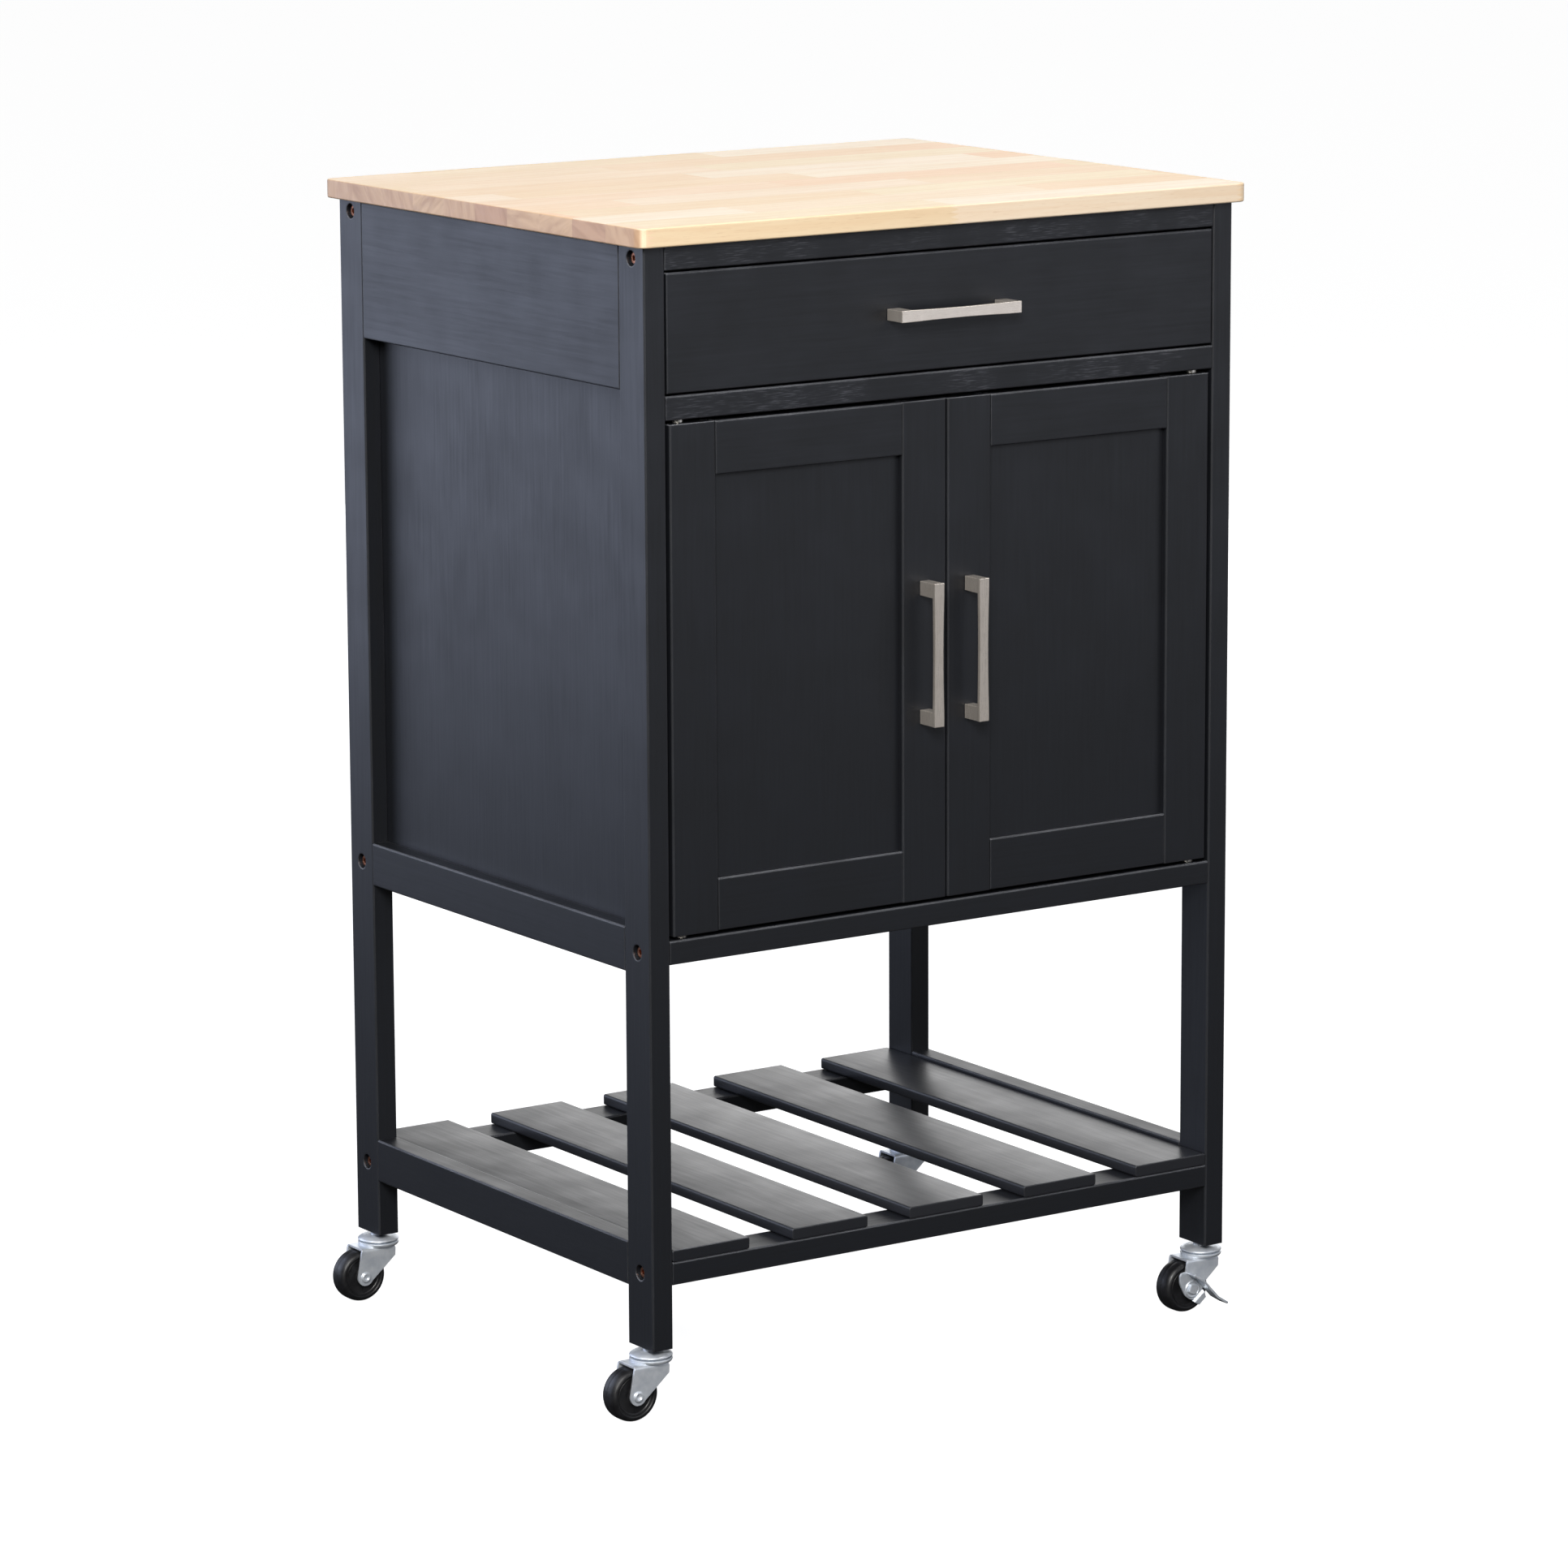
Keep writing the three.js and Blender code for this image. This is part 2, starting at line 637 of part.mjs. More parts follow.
// Brake lever: a flat cam plate on the rivet outside the front cheek, with a bent foot pedal
function leverGeometry() {
  const plate = [
    [-12, 14.5], [-12.5, 6], [-7, -5], [0, -10.5], [7, -13.5], [13, -8], [12, 0], [4, 9], [-5, 15],
  ];
  const near = -forkWide / 2 - clearance;
  const sheet = (points, y0, y1) => {
    const flipped = points.map(([x, z]) => [z, x]);
    if (THREE.ShapeUtils.isClockWise(flipped.map(([a, b]) => new THREE.Vector2(a, b)))) flipped.reverse();
    return solid(prism(flipped, y1 - y0, "y").translate(0, (y0 + y1) / 2, 0));
  };
  let lever = sheet(plate, near - 2, near);
  const pedal = [
    [-5, 15], [-5.6, 13.2], [3.4, 7.6], [11.2, -1], [18, -8.4], [28, -14.6], [29, -13], [19.4, -6.8],
    [12.6, 0.4], [4.4, 9.4],
  ];
  lever = lever.add(sheet(pedal, near - 12, near - 1.9));
  const eye = rod(bore, 8, "y").translate(0, near - 1, 0);
  return surface(lever.subtract(solid(eye)));
}

for (const [side, sx] of [["left", -1], ["right", 1]]) {
  for (const [end, sy] of [["front", -1], ["back", 1]]) {
    const x = sx * legMidX;
    const y = sy * legMidY;
    const braked = side === "right" && end === "front";
    add(`caster_fork_${end}_${side}`, forkGeometry(braked), zinc, x, y, 0);
    const wheel = new THREE.LatheGeometry(wheelProfile.map(([r, h]) => new THREE.Vector2(r, h)), 32);
    add(`caster_wheel_${end}_${side}`, wheel, rubber, x - trail, y, wheelRadius);
    if (braked) add("brake_lever", leverGeometry(), zinc, x - trail, y, wheelRadius);
  }
}

// The part's origin is the middle of its base
const bounds = new THREE.Box3().setFromObject(cart, true);
cart.position.set(
  -(bounds.min.x + bounds.max.x) / 2,
  -(bounds.min.y + bounds.max.y) / 2,
  -bounds.min.z,
);

export default cart;
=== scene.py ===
import math
import bmesh
import bpy
from mathutils import Matrix, Vector


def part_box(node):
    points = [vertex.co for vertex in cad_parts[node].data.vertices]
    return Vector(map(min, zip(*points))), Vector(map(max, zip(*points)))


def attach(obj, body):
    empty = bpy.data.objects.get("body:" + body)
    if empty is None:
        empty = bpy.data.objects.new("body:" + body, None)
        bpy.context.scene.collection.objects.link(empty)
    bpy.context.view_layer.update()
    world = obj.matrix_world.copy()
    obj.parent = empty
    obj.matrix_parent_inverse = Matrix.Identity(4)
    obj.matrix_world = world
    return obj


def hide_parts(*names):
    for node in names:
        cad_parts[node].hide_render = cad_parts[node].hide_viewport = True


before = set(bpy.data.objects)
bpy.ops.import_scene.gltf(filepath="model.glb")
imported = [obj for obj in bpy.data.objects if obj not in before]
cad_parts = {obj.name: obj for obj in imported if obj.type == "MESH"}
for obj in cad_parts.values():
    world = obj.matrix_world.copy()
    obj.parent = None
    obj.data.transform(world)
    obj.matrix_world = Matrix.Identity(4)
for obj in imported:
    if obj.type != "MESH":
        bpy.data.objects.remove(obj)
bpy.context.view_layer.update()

scene = bpy.context.scene

# ---- Camera ----
# A long lens from the front left, a little above the worktop. The place and turn come from
# fitting the cart's real sizes, so no shift is needed.
eye = bpy.data.cameras.new("camera")
eye.lens = 145.29
eye.sensor_width = 36
eye.clip_end = 200
camera = bpy.data.objects.new("camera", eye)
camera.location = (-2.73159, -4.05768, 1.39496)
camera.rotation_euler = [math.radians(a) for a in (78.7852, 0.2620, -34.0546)]
scene.collection.objects.link(camera)
scene.camera = camera

# ---- Studio ----
# A soft key light from the front left, a weaker one high on the left, and dim reflecting
# cards round the cart, over a plain pale floor that takes only a faint shadow.
scene.view_settings.view_transform = "Standard"


def put(tree, kind, links=None, **settings):
    """Adds one node, sets its own settings, and fills or links its inputs."""
    node = tree.nodes.new(kind)
    for key, value in settings.items():
        setattr(node, key, value)
    for socket, value in (links or {}).items():
        if isinstance(value, bpy.types.NodeSocket):
            tree.links.new(value, node.inputs[socket])
        else:
            node.inputs[socket].default_value = value
    return node


def tint(code):
    """An sRGB hex colour as linear RGBA."""
    parts = [int(code[i:i + 2], 16) / 255 for i in (1, 3, 5)]
    return [c / 12.92 if c <= 0.04045 else ((c + 0.055) / 1.055) ** 2.4 for c in parts] + [1]


def surface(name):
    """A new material whose node tree is empty, and that tree."""
    made = bpy.data.materials.new(name)
    made.use_nodes = True
    made.node_tree.nodes.clear()
    return made, made.node_tree


def blend(tree, share, first, second):
    """Mixes two colours: a share of 0 gives the first, 1 the second."""
    return put(tree, "ShaderNodeMix", {0: share, 6: first, 7: second}, data_type="RGBA")


def spread(tree, value, low, high, to_low=0.0, to_high=1.0):
    """Maps one range of a value to another, clamped at both ends."""
    return put(tree, "ShaderNodeMapRange", {"Value": value, "From Min": low,
               "From Max": high, "To Min": to_low, "To Max": to_high})


room = bpy.data.worlds.new("studio")
scene.world = room
room.use_nodes = True
air = room.node_tree
air.nodes.clear()
# the camera sees the sky white; reflections see it dim, and dimmer below the horizon
seen = put(air, "ShaderNodeLightPath")
way = put(air, "ShaderNodeSeparateXYZ", {0: put(air, "ShaderNodeTexCoord").outputs["Generated"]})
dusk = spread(air, way.outputs["Z"], -0.45, 0.05, 0.035, 0.12)
level = put(air, "ShaderNodeMix", {0: seen.outputs["Is Camera Ray"], 2: dusk.outputs[0],
            3: 1.0}, data_type="FLOAT")
glow = put(air, "ShaderNodeBackground", {"Color": tint("#fbfcff"), "Strength": level.outputs[0]})
put(air, "ShaderNodeOutputWorld", {"Surface": glow.outputs[0]})

for name, place, aim, wide, tall, watts, hue in (
    ("softbox_front", (-2.5, -3.5, 2.7), (0.0, 0.0, 0.6), 1.6, 1.6, 245, "#fffdfa"),
    ("softbox_high_left", (-2.5, -0.6, 2.6), (0.0, 0.0, 0.8), 1.5, 1.5, 34, "#f4f7ff"),
    ("card_back_left", (-1.60, 1.95, 1.00), (-0.26, 0.0, 0.75), 2.2, 1.85, 31, "#d6e0fb"),
    ("card_front_right", (1.5, -2.3, 1.05), (0.0, -0.2, 0.75), 2.2, 1.6, 10.5, "#eceffa"),
    ("sweep_behind", (2.7, 2.9, 0.95), (0.1, 0.0, 0.25), 3.5, 2.2, 50, "#ffffff"),
    ("softbox_top", (1.2, -0.6, 2.7), (0.0, -0.1, 0.7), 0.9, 0.9, 17, "#ffffff"),
):
    box = bpy.data.lights.new(name, "AREA")
    box.shape = "RECTANGLE"
    box.size, box.size_y, box.energy = wide, tall, watts
    box.color = tint(hue)[:3]
    lamp = bpy.data.objects.new(name, box)
    lamp.location = place
    lamp.rotation_euler = (Vector(aim) - Vector(place)).to_track_quat("-Z", "Y").to_euler()
    lamp.visible_camera = False
    scene.collection.objects.link(lamp)

ground = bpy.data.meshes.new("floor")
ground.from_pydata([(-60, -60, 0), (60, -60, 0), (60, 60, 0), (-60, 60, 0)], [], [(0, 1, 2, 3)])
floor = bpy.data.objects.new("floor", ground)
floor.visible_glossy = False
floor.visible_diffuse = False
scene.collection.objects.link(floor)
# matt paper that glows a little, so that the floor stays white under the shadow
paper, sheet = surface("white paper sweep")
fibre = put(sheet, "ShaderNodeTexNoise", {"Scale": 40.0, "Detail": 2.0})
pale = blend(sheet, fibre.outputs["Fac"], tint("#9c9c9c"), tint("#a4a4a4"))
lit = put(sheet, "ShaderNodeBsdfPrincipled", {"Base Color": pale.outputs[2], "Roughness": 0.9,
          "Emission Color": (1, 1, 1, 1), "Emission Strength": 0.93})
put(sheet, "ShaderNodeOutputMaterial", {"Surface": lit.outputs[0]})
ground.materials.append(paper)

# ---- Painted frame ----
# Legs, rails and panels are rubberwood and thin board, sprayed with a satin black lacquer.
# The grain shows faintly through the coat, and the arrises are a little rubbed, with a painted
# highlight along them that is strongest on the upper edges.


def painted_wood(name, grain, open_grain=0.0, tone=None):
    """Satin black lacquer on rubberwood with its grain along one axis (0, 1 or 2).
    tone names an attribute that makes the coat smoother and greyer from piece to piece."""
    coat, tree = surface(name)
    place = put(tree, "ShaderNodeTexCoord").outputs["Object"]
    # 2.6 mm wide figure drawn out to 70 mm, and 0.7 mm pores drawn out to 12 mm
    figure, pore = [380.0] * 3, [1400.0] * 3
    figure[grain], pore[grain] = 14.0, 80.0
    along = put(tree, "ShaderNodeMapping", {"Vector": place, "Scale": figure})
    lines = put(tree, "ShaderNodeTexNoise", {"Vector": along.outputs[0], "Scale": 1.0,
                "Detail": 4.0, "Roughness": 0.6, "Distortion": 0.3})
    finer = put(tree, "ShaderNodeMapping", {"Vector": place, "Scale": pore})
    pores = put(tree, "ShaderNodeTexNoise", {"Vector": finer.outputs[0], "Scale": 1.0,
                "Detail": 2.0})
    cloud = put(tree, "ShaderNodeTexNoise", {"Vector": place, "Scale": 22.0, "Detail": 3.0})
    mist = put(tree, "ShaderNodeMath", {0: lines.outputs["Fac"], 1: 0.55, 2: 0.0},
               operation="MULTIPLY_ADD")
    depth = put(tree, "ShaderNodeMath", {0: cloud.outputs["Fac"], 1: 0.45, 2: mist.outputs[0]},
                operation="MULTIPLY_ADD")
    body = put(tree, "ShaderNodeValToRGB", {"Fac": depth.outputs[0]})
    body.color_ramp.elements[0].position, body.color_ramp.elements[1].position = 0.36, 0.66
    body.color_ramp.elements[0].color = tint("#0f1115")
    body.color_ramp.elements[1].color = tint("#16181d")
    # rubbed arrises with a painted highlight: light grey where the bevelled normal leaves the
    # face's own
    soft = put(tree, "ShaderNodeBevel", {"Radius": 0.0016}, samples=4)
    flat = put(tree, "ShaderNodeNewGeometry")
    turn = put(tree, "ShaderNodeVectorMath", {0: soft.outputs[0], 1: flat.outputs["Normal"]},
               operation="DOT_PRODUCT")
    edge_highlight = spread(tree, turn.outputs["Value"], 0.995, 0.88, 0.0, 1.0)
    # edges that face upward get more of the light grey, as a painted highlight from the light
    # above
    lean = put(tree, "ShaderNodeSeparateXYZ", {0: soft.outputs[0]})
    upper = spread(tree, lean.outputs["Z"], 0.1, 0.55, 0.35, 1.7)
    edge_highlight = put(tree, "ShaderNodeMath", {0: edge_highlight.outputs[0], 1: upper.outputs[0]},
              operation="MULTIPLY")
    patchy_wear_and_highlight = put(tree, "ShaderNodeMath", {0: edge_highlight.outputs[0], 1: cloud.outputs["Fac"]},
                 operation="MULTIPLY")
    colour_with_edge_highlight = blend(tree, patchy_wear_and_highlight.outputs[0], body.outputs[0], tint("#7b7d83"))
    # bare-looking flecks where the coat sank into open pores
    fleck = spread(tree, pores.outputs["Fac"], 0.52, 0.70, 0.0, open_grain)
    blotch = spread(tree, cloud.outputs["Fac"], 0.42, 0.64)
    fleck = put(tree, "ShaderNodeMath", {0: fleck.outputs[0], 1: blotch.outputs[0]},
                operation="MULTIPLY")
    colour_with_edge_highlight = blend(tree, fleck.outputs[0], colour_with_edge_highlight.outputs[2], tint("#5f6067"))
    sheen = spread(tree, depth.outputs[0], 0.3, 0.7, 0.50, 0.38)
    if tone:
        own = put(tree, "ShaderNodeAttribute", attribute_name=tone)
        sheen = put(tree, "ShaderNodeMath", {0: own.outputs["Fac"], 1: -0.08,
                    2: sheen.outputs[0]}, operation="MULTIPLY_ADD")
        colour_with_edge_highlight = blend(tree, own.outputs["Fac"], colour_with_edge_highlight.outputs[2], tint("#242529"))
    relief = put(tree, "ShaderNodeMath", {0: pores.outputs["Fac"], 1: 0.35,
                 2: lines.outputs["Fac"]}, operation="MULTIPLY_ADD")
    bump = put(tree, "ShaderNodeBump", {"Strength": 0.22, "Distance": 0.0002,
               "Height": relief.outputs[0], "Normal": soft.outputs[0]})
    skin = put(tree, "ShaderNodeBsdfPrincipled", {"Base Color": colour_with_edge_highlight.outputs[2],
               "Roughness": sheen.outputs[0], "IOR": 1.5, "Normal": bump.outputs[0]})
    put(tree, "ShaderNodeOutputMaterial", {"Surface": skin.outputs[0]})
    return coat


paint_across, paint_deep, paint_upright = [
    painted_wood("black lacquer on rubberwood, grain " + way, i)
    for i, way in enumerate(("across", "front to back", "upright"))]
open_paint = painted_wood("thin black lacquer on open-grained rail", 0, 0.5)


def dress(node, material):
    """Gives every material slot of a CAD node the same material."""
    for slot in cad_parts[node].material_slots:
        slot.material = material


for side in ("left", "right"):
    for end in ("front", "back"):
        dress(f"leg_{end}_{side}", paint_upright)
    for level in ("top", "bottom"):
        dress(f"side_{level}_rail_{side}", paint_deep)
    dress(f"side_panel_{side}", paint_upright)
    dress(f"shelf_side_rail_{side}", paint_deep)
for rail in ("front_bottom", "back_top", "back_bottom", "shelf_front", "shelf_back"):
    dress(rail + "_rail", paint_across)
for rail in ("front_top", "front_mid"):
    dress(rail + "_rail", open_paint)
dress("back_panel", paint_upright)
dress("cabinet_floor", paint_across)

# ---- Worktop ----
# A board glued up from ten rubberwood staves with finger-jointed blocks, sanded and oiled.
# Long grain shows pale on the faces and the long edges, darker end grain at both ends.


def solid_of(name, mesh_data, material, angle=35):
    """Links a bmesh as a finished object with its faces outward and its hard edges kept."""
    bmesh.ops.recalc_face_normals(mesh_data, faces=mesh_data.faces)
    mesh = bpy.data.meshes.new(name)
    mesh_data.to_mesh(mesh)
    mesh_data.free()
    mesh.polygons.foreach_set("use_smooth", [True] * len(mesh.polygons))
    mesh.set_sharp_from_angle(angle=math.radians(angle))
    mesh.materials.append(material)
    piece = bpy.data.objects.new(name, mesh)
    scene.collection.objects.link(piece)
    return piece


def settle(piece):
    """Turns live modifiers into a plain mesh."""
    bpy.context.view_layer.update()
    seen_mesh = piece.evaluated_get(bpy.context.evaluated_depsgraph_get())
    mesh = bpy.data.meshes.new_from_object(seen_mesh)
    piece.modifiers.clear()
    old, piece.data = piece.data, mesh
    bpy.data.meshes.remove(old)
    return piece


def ease(piece, width, segments=3, angle=40):
    """Rounds every sharp edge of a piece by width."""
    cut = piece.modifiers.new("ease", "BEVEL")
    cut.width, cut.segments, cut.limit_method = width, segments, "ANGLE"
    cut.angle_limit = math.radians(angle)
    cut.harden_normals = True
    return settle(piece)


top_low, top_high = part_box("worktop")
board_corner, board_ease, corner_steps = 0.009, 0.0014, 8
stave_wide, block_long, finger_half, glue_share = 0.0456, 0.27, 0.0019, 0.011
rim = []
for cx, cy, start in ((1, -1, -90), (1, 1, 0), (-1, 1, 90), (-1, -1, 180)):
    x = (top_high.x if cx > 0 else top_low.x) - cx * board_corner
    y = (top_high.y if cy > 0 else top_low.y) - cy * board_corner
    for step in range(corner_steps + 1):
        a = math.radians(start + step * 90 / corner_steps)
        rim.append((x + board_corner * math.cos(a), y + board_corner * math.sin(a)))
bm = bmesh.new()
under = [bm.verts.new((x, y, top_low.z)) for x, y in rim]
over = [bm.verts.new((x, y, top_high.z)) for x, y in rim]
bm.faces.new(over)
bm.faces.new(list(reversed(under)))
for i in range(len(rim)):
    j = (i + 1) % len(rim)
    bm.faces.new((under[i], under[j], over[j], over[i]))

# oiled rubberwood: pale honey blocks of differing tone, fine brown pores and a soft sheen
oiled, tree = surface("oiled rubberwood staves")
place = put(tree, "ShaderNodeTexCoord")
spot = put(tree, "ShaderNodeSeparateXYZ", {0: place.outputs["Object"]})
# ten staves 45.6 mm wide, numbered from the front
row = put(tree, "ShaderNodeMath", {0: spot.outputs["Y"], 1: -top_low.y}, operation="ADD")
row = put(tree, "ShaderNodeMath", {0: row.outputs[0], 1: stave_wide}, operation="DIVIDE")
stave = put(tree, "ShaderNodeMath", {0: row.outputs[0]}, operation="FLOOR")
across = put(tree, "ShaderNodeMath", {0: row.outputs[0]}, operation="FRACT")
# finger joints show as a zigzag of 3.8 mm pitch on the long edges, and straight on the faces
finger = put(tree, "ShaderNodeMath", {0: spot.outputs["Z"], 1: finger_half},
             operation="PINGPONG")
jog = put(tree, "ShaderNodeMath", {0: finger.outputs[0], 1: 4.2, 2: spot.outputs["X"]},
          operation="MULTIPLY_ADD")
start = put(tree, "ShaderNodeTexWhiteNoise", {"W": stave.outputs[0]}, noise_dimensions="1D")
run = put(tree, "ShaderNodeMath", {0: start.outputs["Value"], 1: 0.9, 2: jog.outputs[0]},
          operation="MULTIPLY_ADD")
block = put(tree, "ShaderNodeMath", {0: run.outputs[0], 1: block_long}, operation="DIVIDE")
block = put(tree, "ShaderNodeMath", {0: block.outputs[0]}, operation="FLOOR")
which = put(tree, "ShaderNodeCombineXYZ", {0: stave.outputs[0], 1: block.outputs[0], 2: 3.7})
chance = put(tree, "ShaderNodeTexWhiteNoise", {"Vector": which.outputs[0]},
             noise_dimensions="3D")
# every block has its own piece of the figure: 5 mm bands drawn out to 125 mm
shift = put(tree, "ShaderNodeVectorMath", {0: chance.outputs["Color"], 1: (3, 3, 3)},
            operation="MULTIPLY")
own = put(tree, "ShaderNodeVectorMath", {0: place.outputs["Object"], 1: shift.outputs[0]},
          operation="ADD")
long = put(tree, "ShaderNodeMapping", {"Vector": own.outputs[0], "Scale": (8, 200, 200)})
figure = put(tree, "ShaderNodeTexNoise", {"Vector": long.outputs[0], "Scale": 1.0,
             "Detail": 5.0, "Roughness": 0.6, "Distortion": 0.5})
thin = put(tree, "ShaderNodeMapping", {"Vector": own.outputs[0], "Scale": (90, 1600, 1600)})
pores = put(tree, "ShaderNodeTexNoise", {"Vector": thin.outputs[0], "Scale": 1.0,
            "Detail": 1.0})
tone = put(tree, "ShaderNodeValToRGB", {"Fac": chance.outputs["Value"]})
tone.color_ramp.elements[0].color = tint("#f2dfbb")
tone.color_ramp.elements[1].color = tint("#f3d8b2")
for at, code in ((0.25, "#efcfa8"), (0.45, "#f5e3c6"), (0.65, "#efc398"), (0.85, "#f6e6cd")):
    tone.color_ramp.elements.new(at).color = tint(code)
dark = spread(tree, figure.outputs["Fac"], 0.42, 0.74, 0.0, 0.34)
grained = blend(tree, dark.outputs[0], tone.outputs[0], tint("#e0b88a"))
dots = spread(tree, pores.outputs["Fac"], 0.62, 0.75, 0.0, 0.25)
pored = blend(tree, dots.outputs[0], grained.outputs[2], tint("#b98a5c"))
# glue line: the first 0.5 mm of each stave
glue = put(tree, "ShaderNodeMath", {0: across.outputs[0], 1: glue_share},
           operation="LESS_THAN")
glue = put(tree, "ShaderNodeMath", {0: glue.outputs[0], 1: 0.22}, operation="MULTIPLY")
faced = blend(tree, glue.outputs[0], pored.outputs[2], tint("#b58a63"))
# end grain: each stave's rings at its own slope, in 8 mm bands with finer ones between
lean = put(tree, "ShaderNodeMath", {0: start.outputs["Value"], 1: 5.2, 2: -2.6},
           operation="MULTIPLY_ADD")
rolled = put(tree, "ShaderNodeVectorRotate", {"Vector": place.outputs["Object"],
             "Center": (0, 0, top_high.z), "Angle": lean.outputs[0]}, rotation_type="X_AXIS")
end_long = put(tree, "ShaderNodeMapping", {"Vector": rolled.outputs[0],
               "Scale": (1, 130, 30)})
rings = put(tree, "ShaderNodeTexNoise", {"Vector": end_long.outputs[0], "Scale": 1.0,
            "Detail": 3.0, "Distortion": 0.6})
end_tone = blend(tree, start.outputs["Value"], tint("#b59075"), tint("#c8a886"))
ring_dark = spread(tree, rings.outputs["Fac"], 0.4, 0.7, 0.0, 0.6)
ended = blend(tree, ring_dark.outputs[0], end_tone.outputs[2], tint("#9b765d"))
facing = put(tree, "ShaderNodeSeparateXYZ", {0: place.outputs["Normal"]})
turned_end = put(tree, "ShaderNodeMath", {0: facing.outputs["X"]}, operation="ABSOLUTE")
at_end = put(tree, "ShaderNodeMapRange", {"Value": turned_end.outputs[0], "From Min": 0.55,
             "From Max": 0.85}, interpolation_type="SMOOTHSTEP")
wood = blend(tree, at_end.outputs[0], faced.outputs[2], ended.outputs[2])
matt = spread(tree, figure.outputs["Fac"], 0.3, 0.7, 0.36, 0.50)
lift = put(tree, "ShaderNodeMath", {0: dots.outputs[0], 1: -1.2, 2: figure.outputs["Fac"]},
           operation="MULTIPLY_ADD")
bump = put(tree, "ShaderNodeBump", {"Strength": 0.25, "Distance": 0.0002,
           "Height": lift.outputs[0]})
skin = put(tree, "ShaderNodeBsdfPrincipled", {"Base Color": wood.outputs[2],
           "Roughness": matt.outputs[0], "IOR": 1.48, "Normal": bump.outputs[0]})
put(tree, "ShaderNodeOutputMaterial", {"Surface": skin.outputs[0]})

worktop = ease(solid_of("worktop_board", bm, oiled), board_ease)
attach(worktop, "carcass")
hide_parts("worktop")

# ---- Rail bolts ----
# Twelve socket-head bolts, bronze plated, sunk in counterbores on the legs' outer faces.
# They pull the front and back rails against the legs.


def tree_of(name, sizes):
    """A geometry tree with named inputs. Gives the tree, its input and its output node."""
    made = bpy.data.node_groups.new(name, "GeometryNodeTree")
    made.interface.new_socket("Geometry", in_out="INPUT", socket_type="NodeSocketGeometry")
    for label, kind in sizes:
        made.interface.new_socket(label, in_out="INPUT", socket_type="NodeSocket" + kind)
    made.interface.new_socket("Geometry", in_out="OUTPUT", socket_type="NodeSocketGeometry")
    return made, put(made, "NodeGroupInput"), put(made, "NodeGroupOutput")


def grown(name, rule, sizes, points=(), facings=()):
    """Runs a tree over a set of points and keeps the result as a plain mesh."""
    seeds = bpy.data.meshes.new(name)
    seeds.from_pydata([tuple(p) for p in points], [], [])
    if facings:
        look = seeds.attributes.new("facing", "FLOAT_VECTOR", "POINT")
        look.data.foreach_set("vector", [c for f in facings for c in f])
    piece = bpy.data.objects.new(name, seeds)
    scene.collection.objects.link(piece)
    work = piece.modifiers.new("make", "NODES")
    work.node_group = rule
    for item in rule.interface.items_tree:
        if item.item_type == "SOCKET" and item.in_out == "INPUT" and item.name in sizes:
            work[item.identifier] = sizes[item.name]
    settle(piece)
    piece.data.polygons.foreach_set("use_smooth", [True] * len(piece.data.polygons))
    piece.data.set_sharp_from_angle(angle=math.radians(30))
    return piece


screws, given, out = tree_of("socket heads at points", [
    ("Head radius", "Float"), ("Head height", "Float"), ("Rim chamfer", "Float"),
    ("Key sides", "Int"), ("Key radius", "Float"), ("Key depth", "Float"),
    ("Shank radius", "Float"), ("Shank length", "Float"), ("Finish", "Material")])
half = put(screws, "ShaderNodeMath", {0: given.outputs["Head height"],
           1: given.outputs["Rim chamfer"]}, operation="SUBTRACT")
drum = put(screws, "GeometryNodeMeshCylinder", {"Vertices": 40,
           "Radius": given.outputs["Head radius"], "Depth": half.outputs[0]})
low = put(screws, "ShaderNodeMath", {0: half.outputs[0], 1: 0.5}, operation="MULTIPLY")
up = put(screws, "ShaderNodeCombineXYZ", {2: low.outputs[0]})
drum = put(screws, "GeometryNodeTransform", {0: drum.outputs["Mesh"],
           "Translation": up.outputs[0]})
crown_radius = put(screws, "ShaderNodeMath", {0: given.outputs["Head radius"],
                   1: given.outputs["Rim chamfer"]}, operation="SUBTRACT")
crown = put(screws, "GeometryNodeMeshCone", {"Vertices": 40,
            "Radius Top": crown_radius.outputs[0],
            "Radius Bottom": given.outputs["Head radius"],
            "Depth": given.outputs["Rim chamfer"]})
up = put(screws, "ShaderNodeCombineXYZ", {2: half.outputs[0]})
crown = put(screws, "GeometryNodeTransform", {0: crown.outputs["Mesh"],
            "Translation": up.outputs[0]})
shank = put(screws, "GeometryNodeMeshCylinder", {"Vertices": 20,
            "Radius": given.outputs["Shank radius"], "Depth": given.outputs["Shank length"]})
down = put(screws, "ShaderNodeMath", {0: given.outputs["Shank length"], 1: -0.499},
           operation="MULTIPLY")
down = put(screws, "ShaderNodeCombineXYZ", {2: down.outputs[0]})
shank = put(screws, "GeometryNodeTransform", {0: shank.outputs["Mesh"],
            "Translation": down.outputs[0]})
whole = put(screws, "GeometryNodeMeshBoolean", operation="UNION")
for part in (drum, crown, shank):
    screws.links.new(part.outputs[0], whole.inputs["Mesh 2"])
key = put(screws, "GeometryNodeMeshCylinder", {"Vertices": given.outputs["Key sides"],
          "Radius": given.outputs["Key radius"], "Depth": given.outputs["Key depth"]})
high = put(screws, "ShaderNodeMath", {0: given.outputs["Key depth"], 1: -0.45,
           2: given.outputs["Head height"]}, operation="MULTIPLY_ADD")
high = put(screws, "ShaderNodeCombineXYZ", {2: high.outputs[0]})
key = put(screws, "GeometryNodeTransform", {0: key.outputs["Mesh"],
          "Translation": high.outputs[0]})
head = put(screws, "GeometryNodeMeshBoolean", {"Mesh 1": whole.outputs["Mesh"],
           "Mesh 2": key.outputs[0]}, operation="DIFFERENCE")
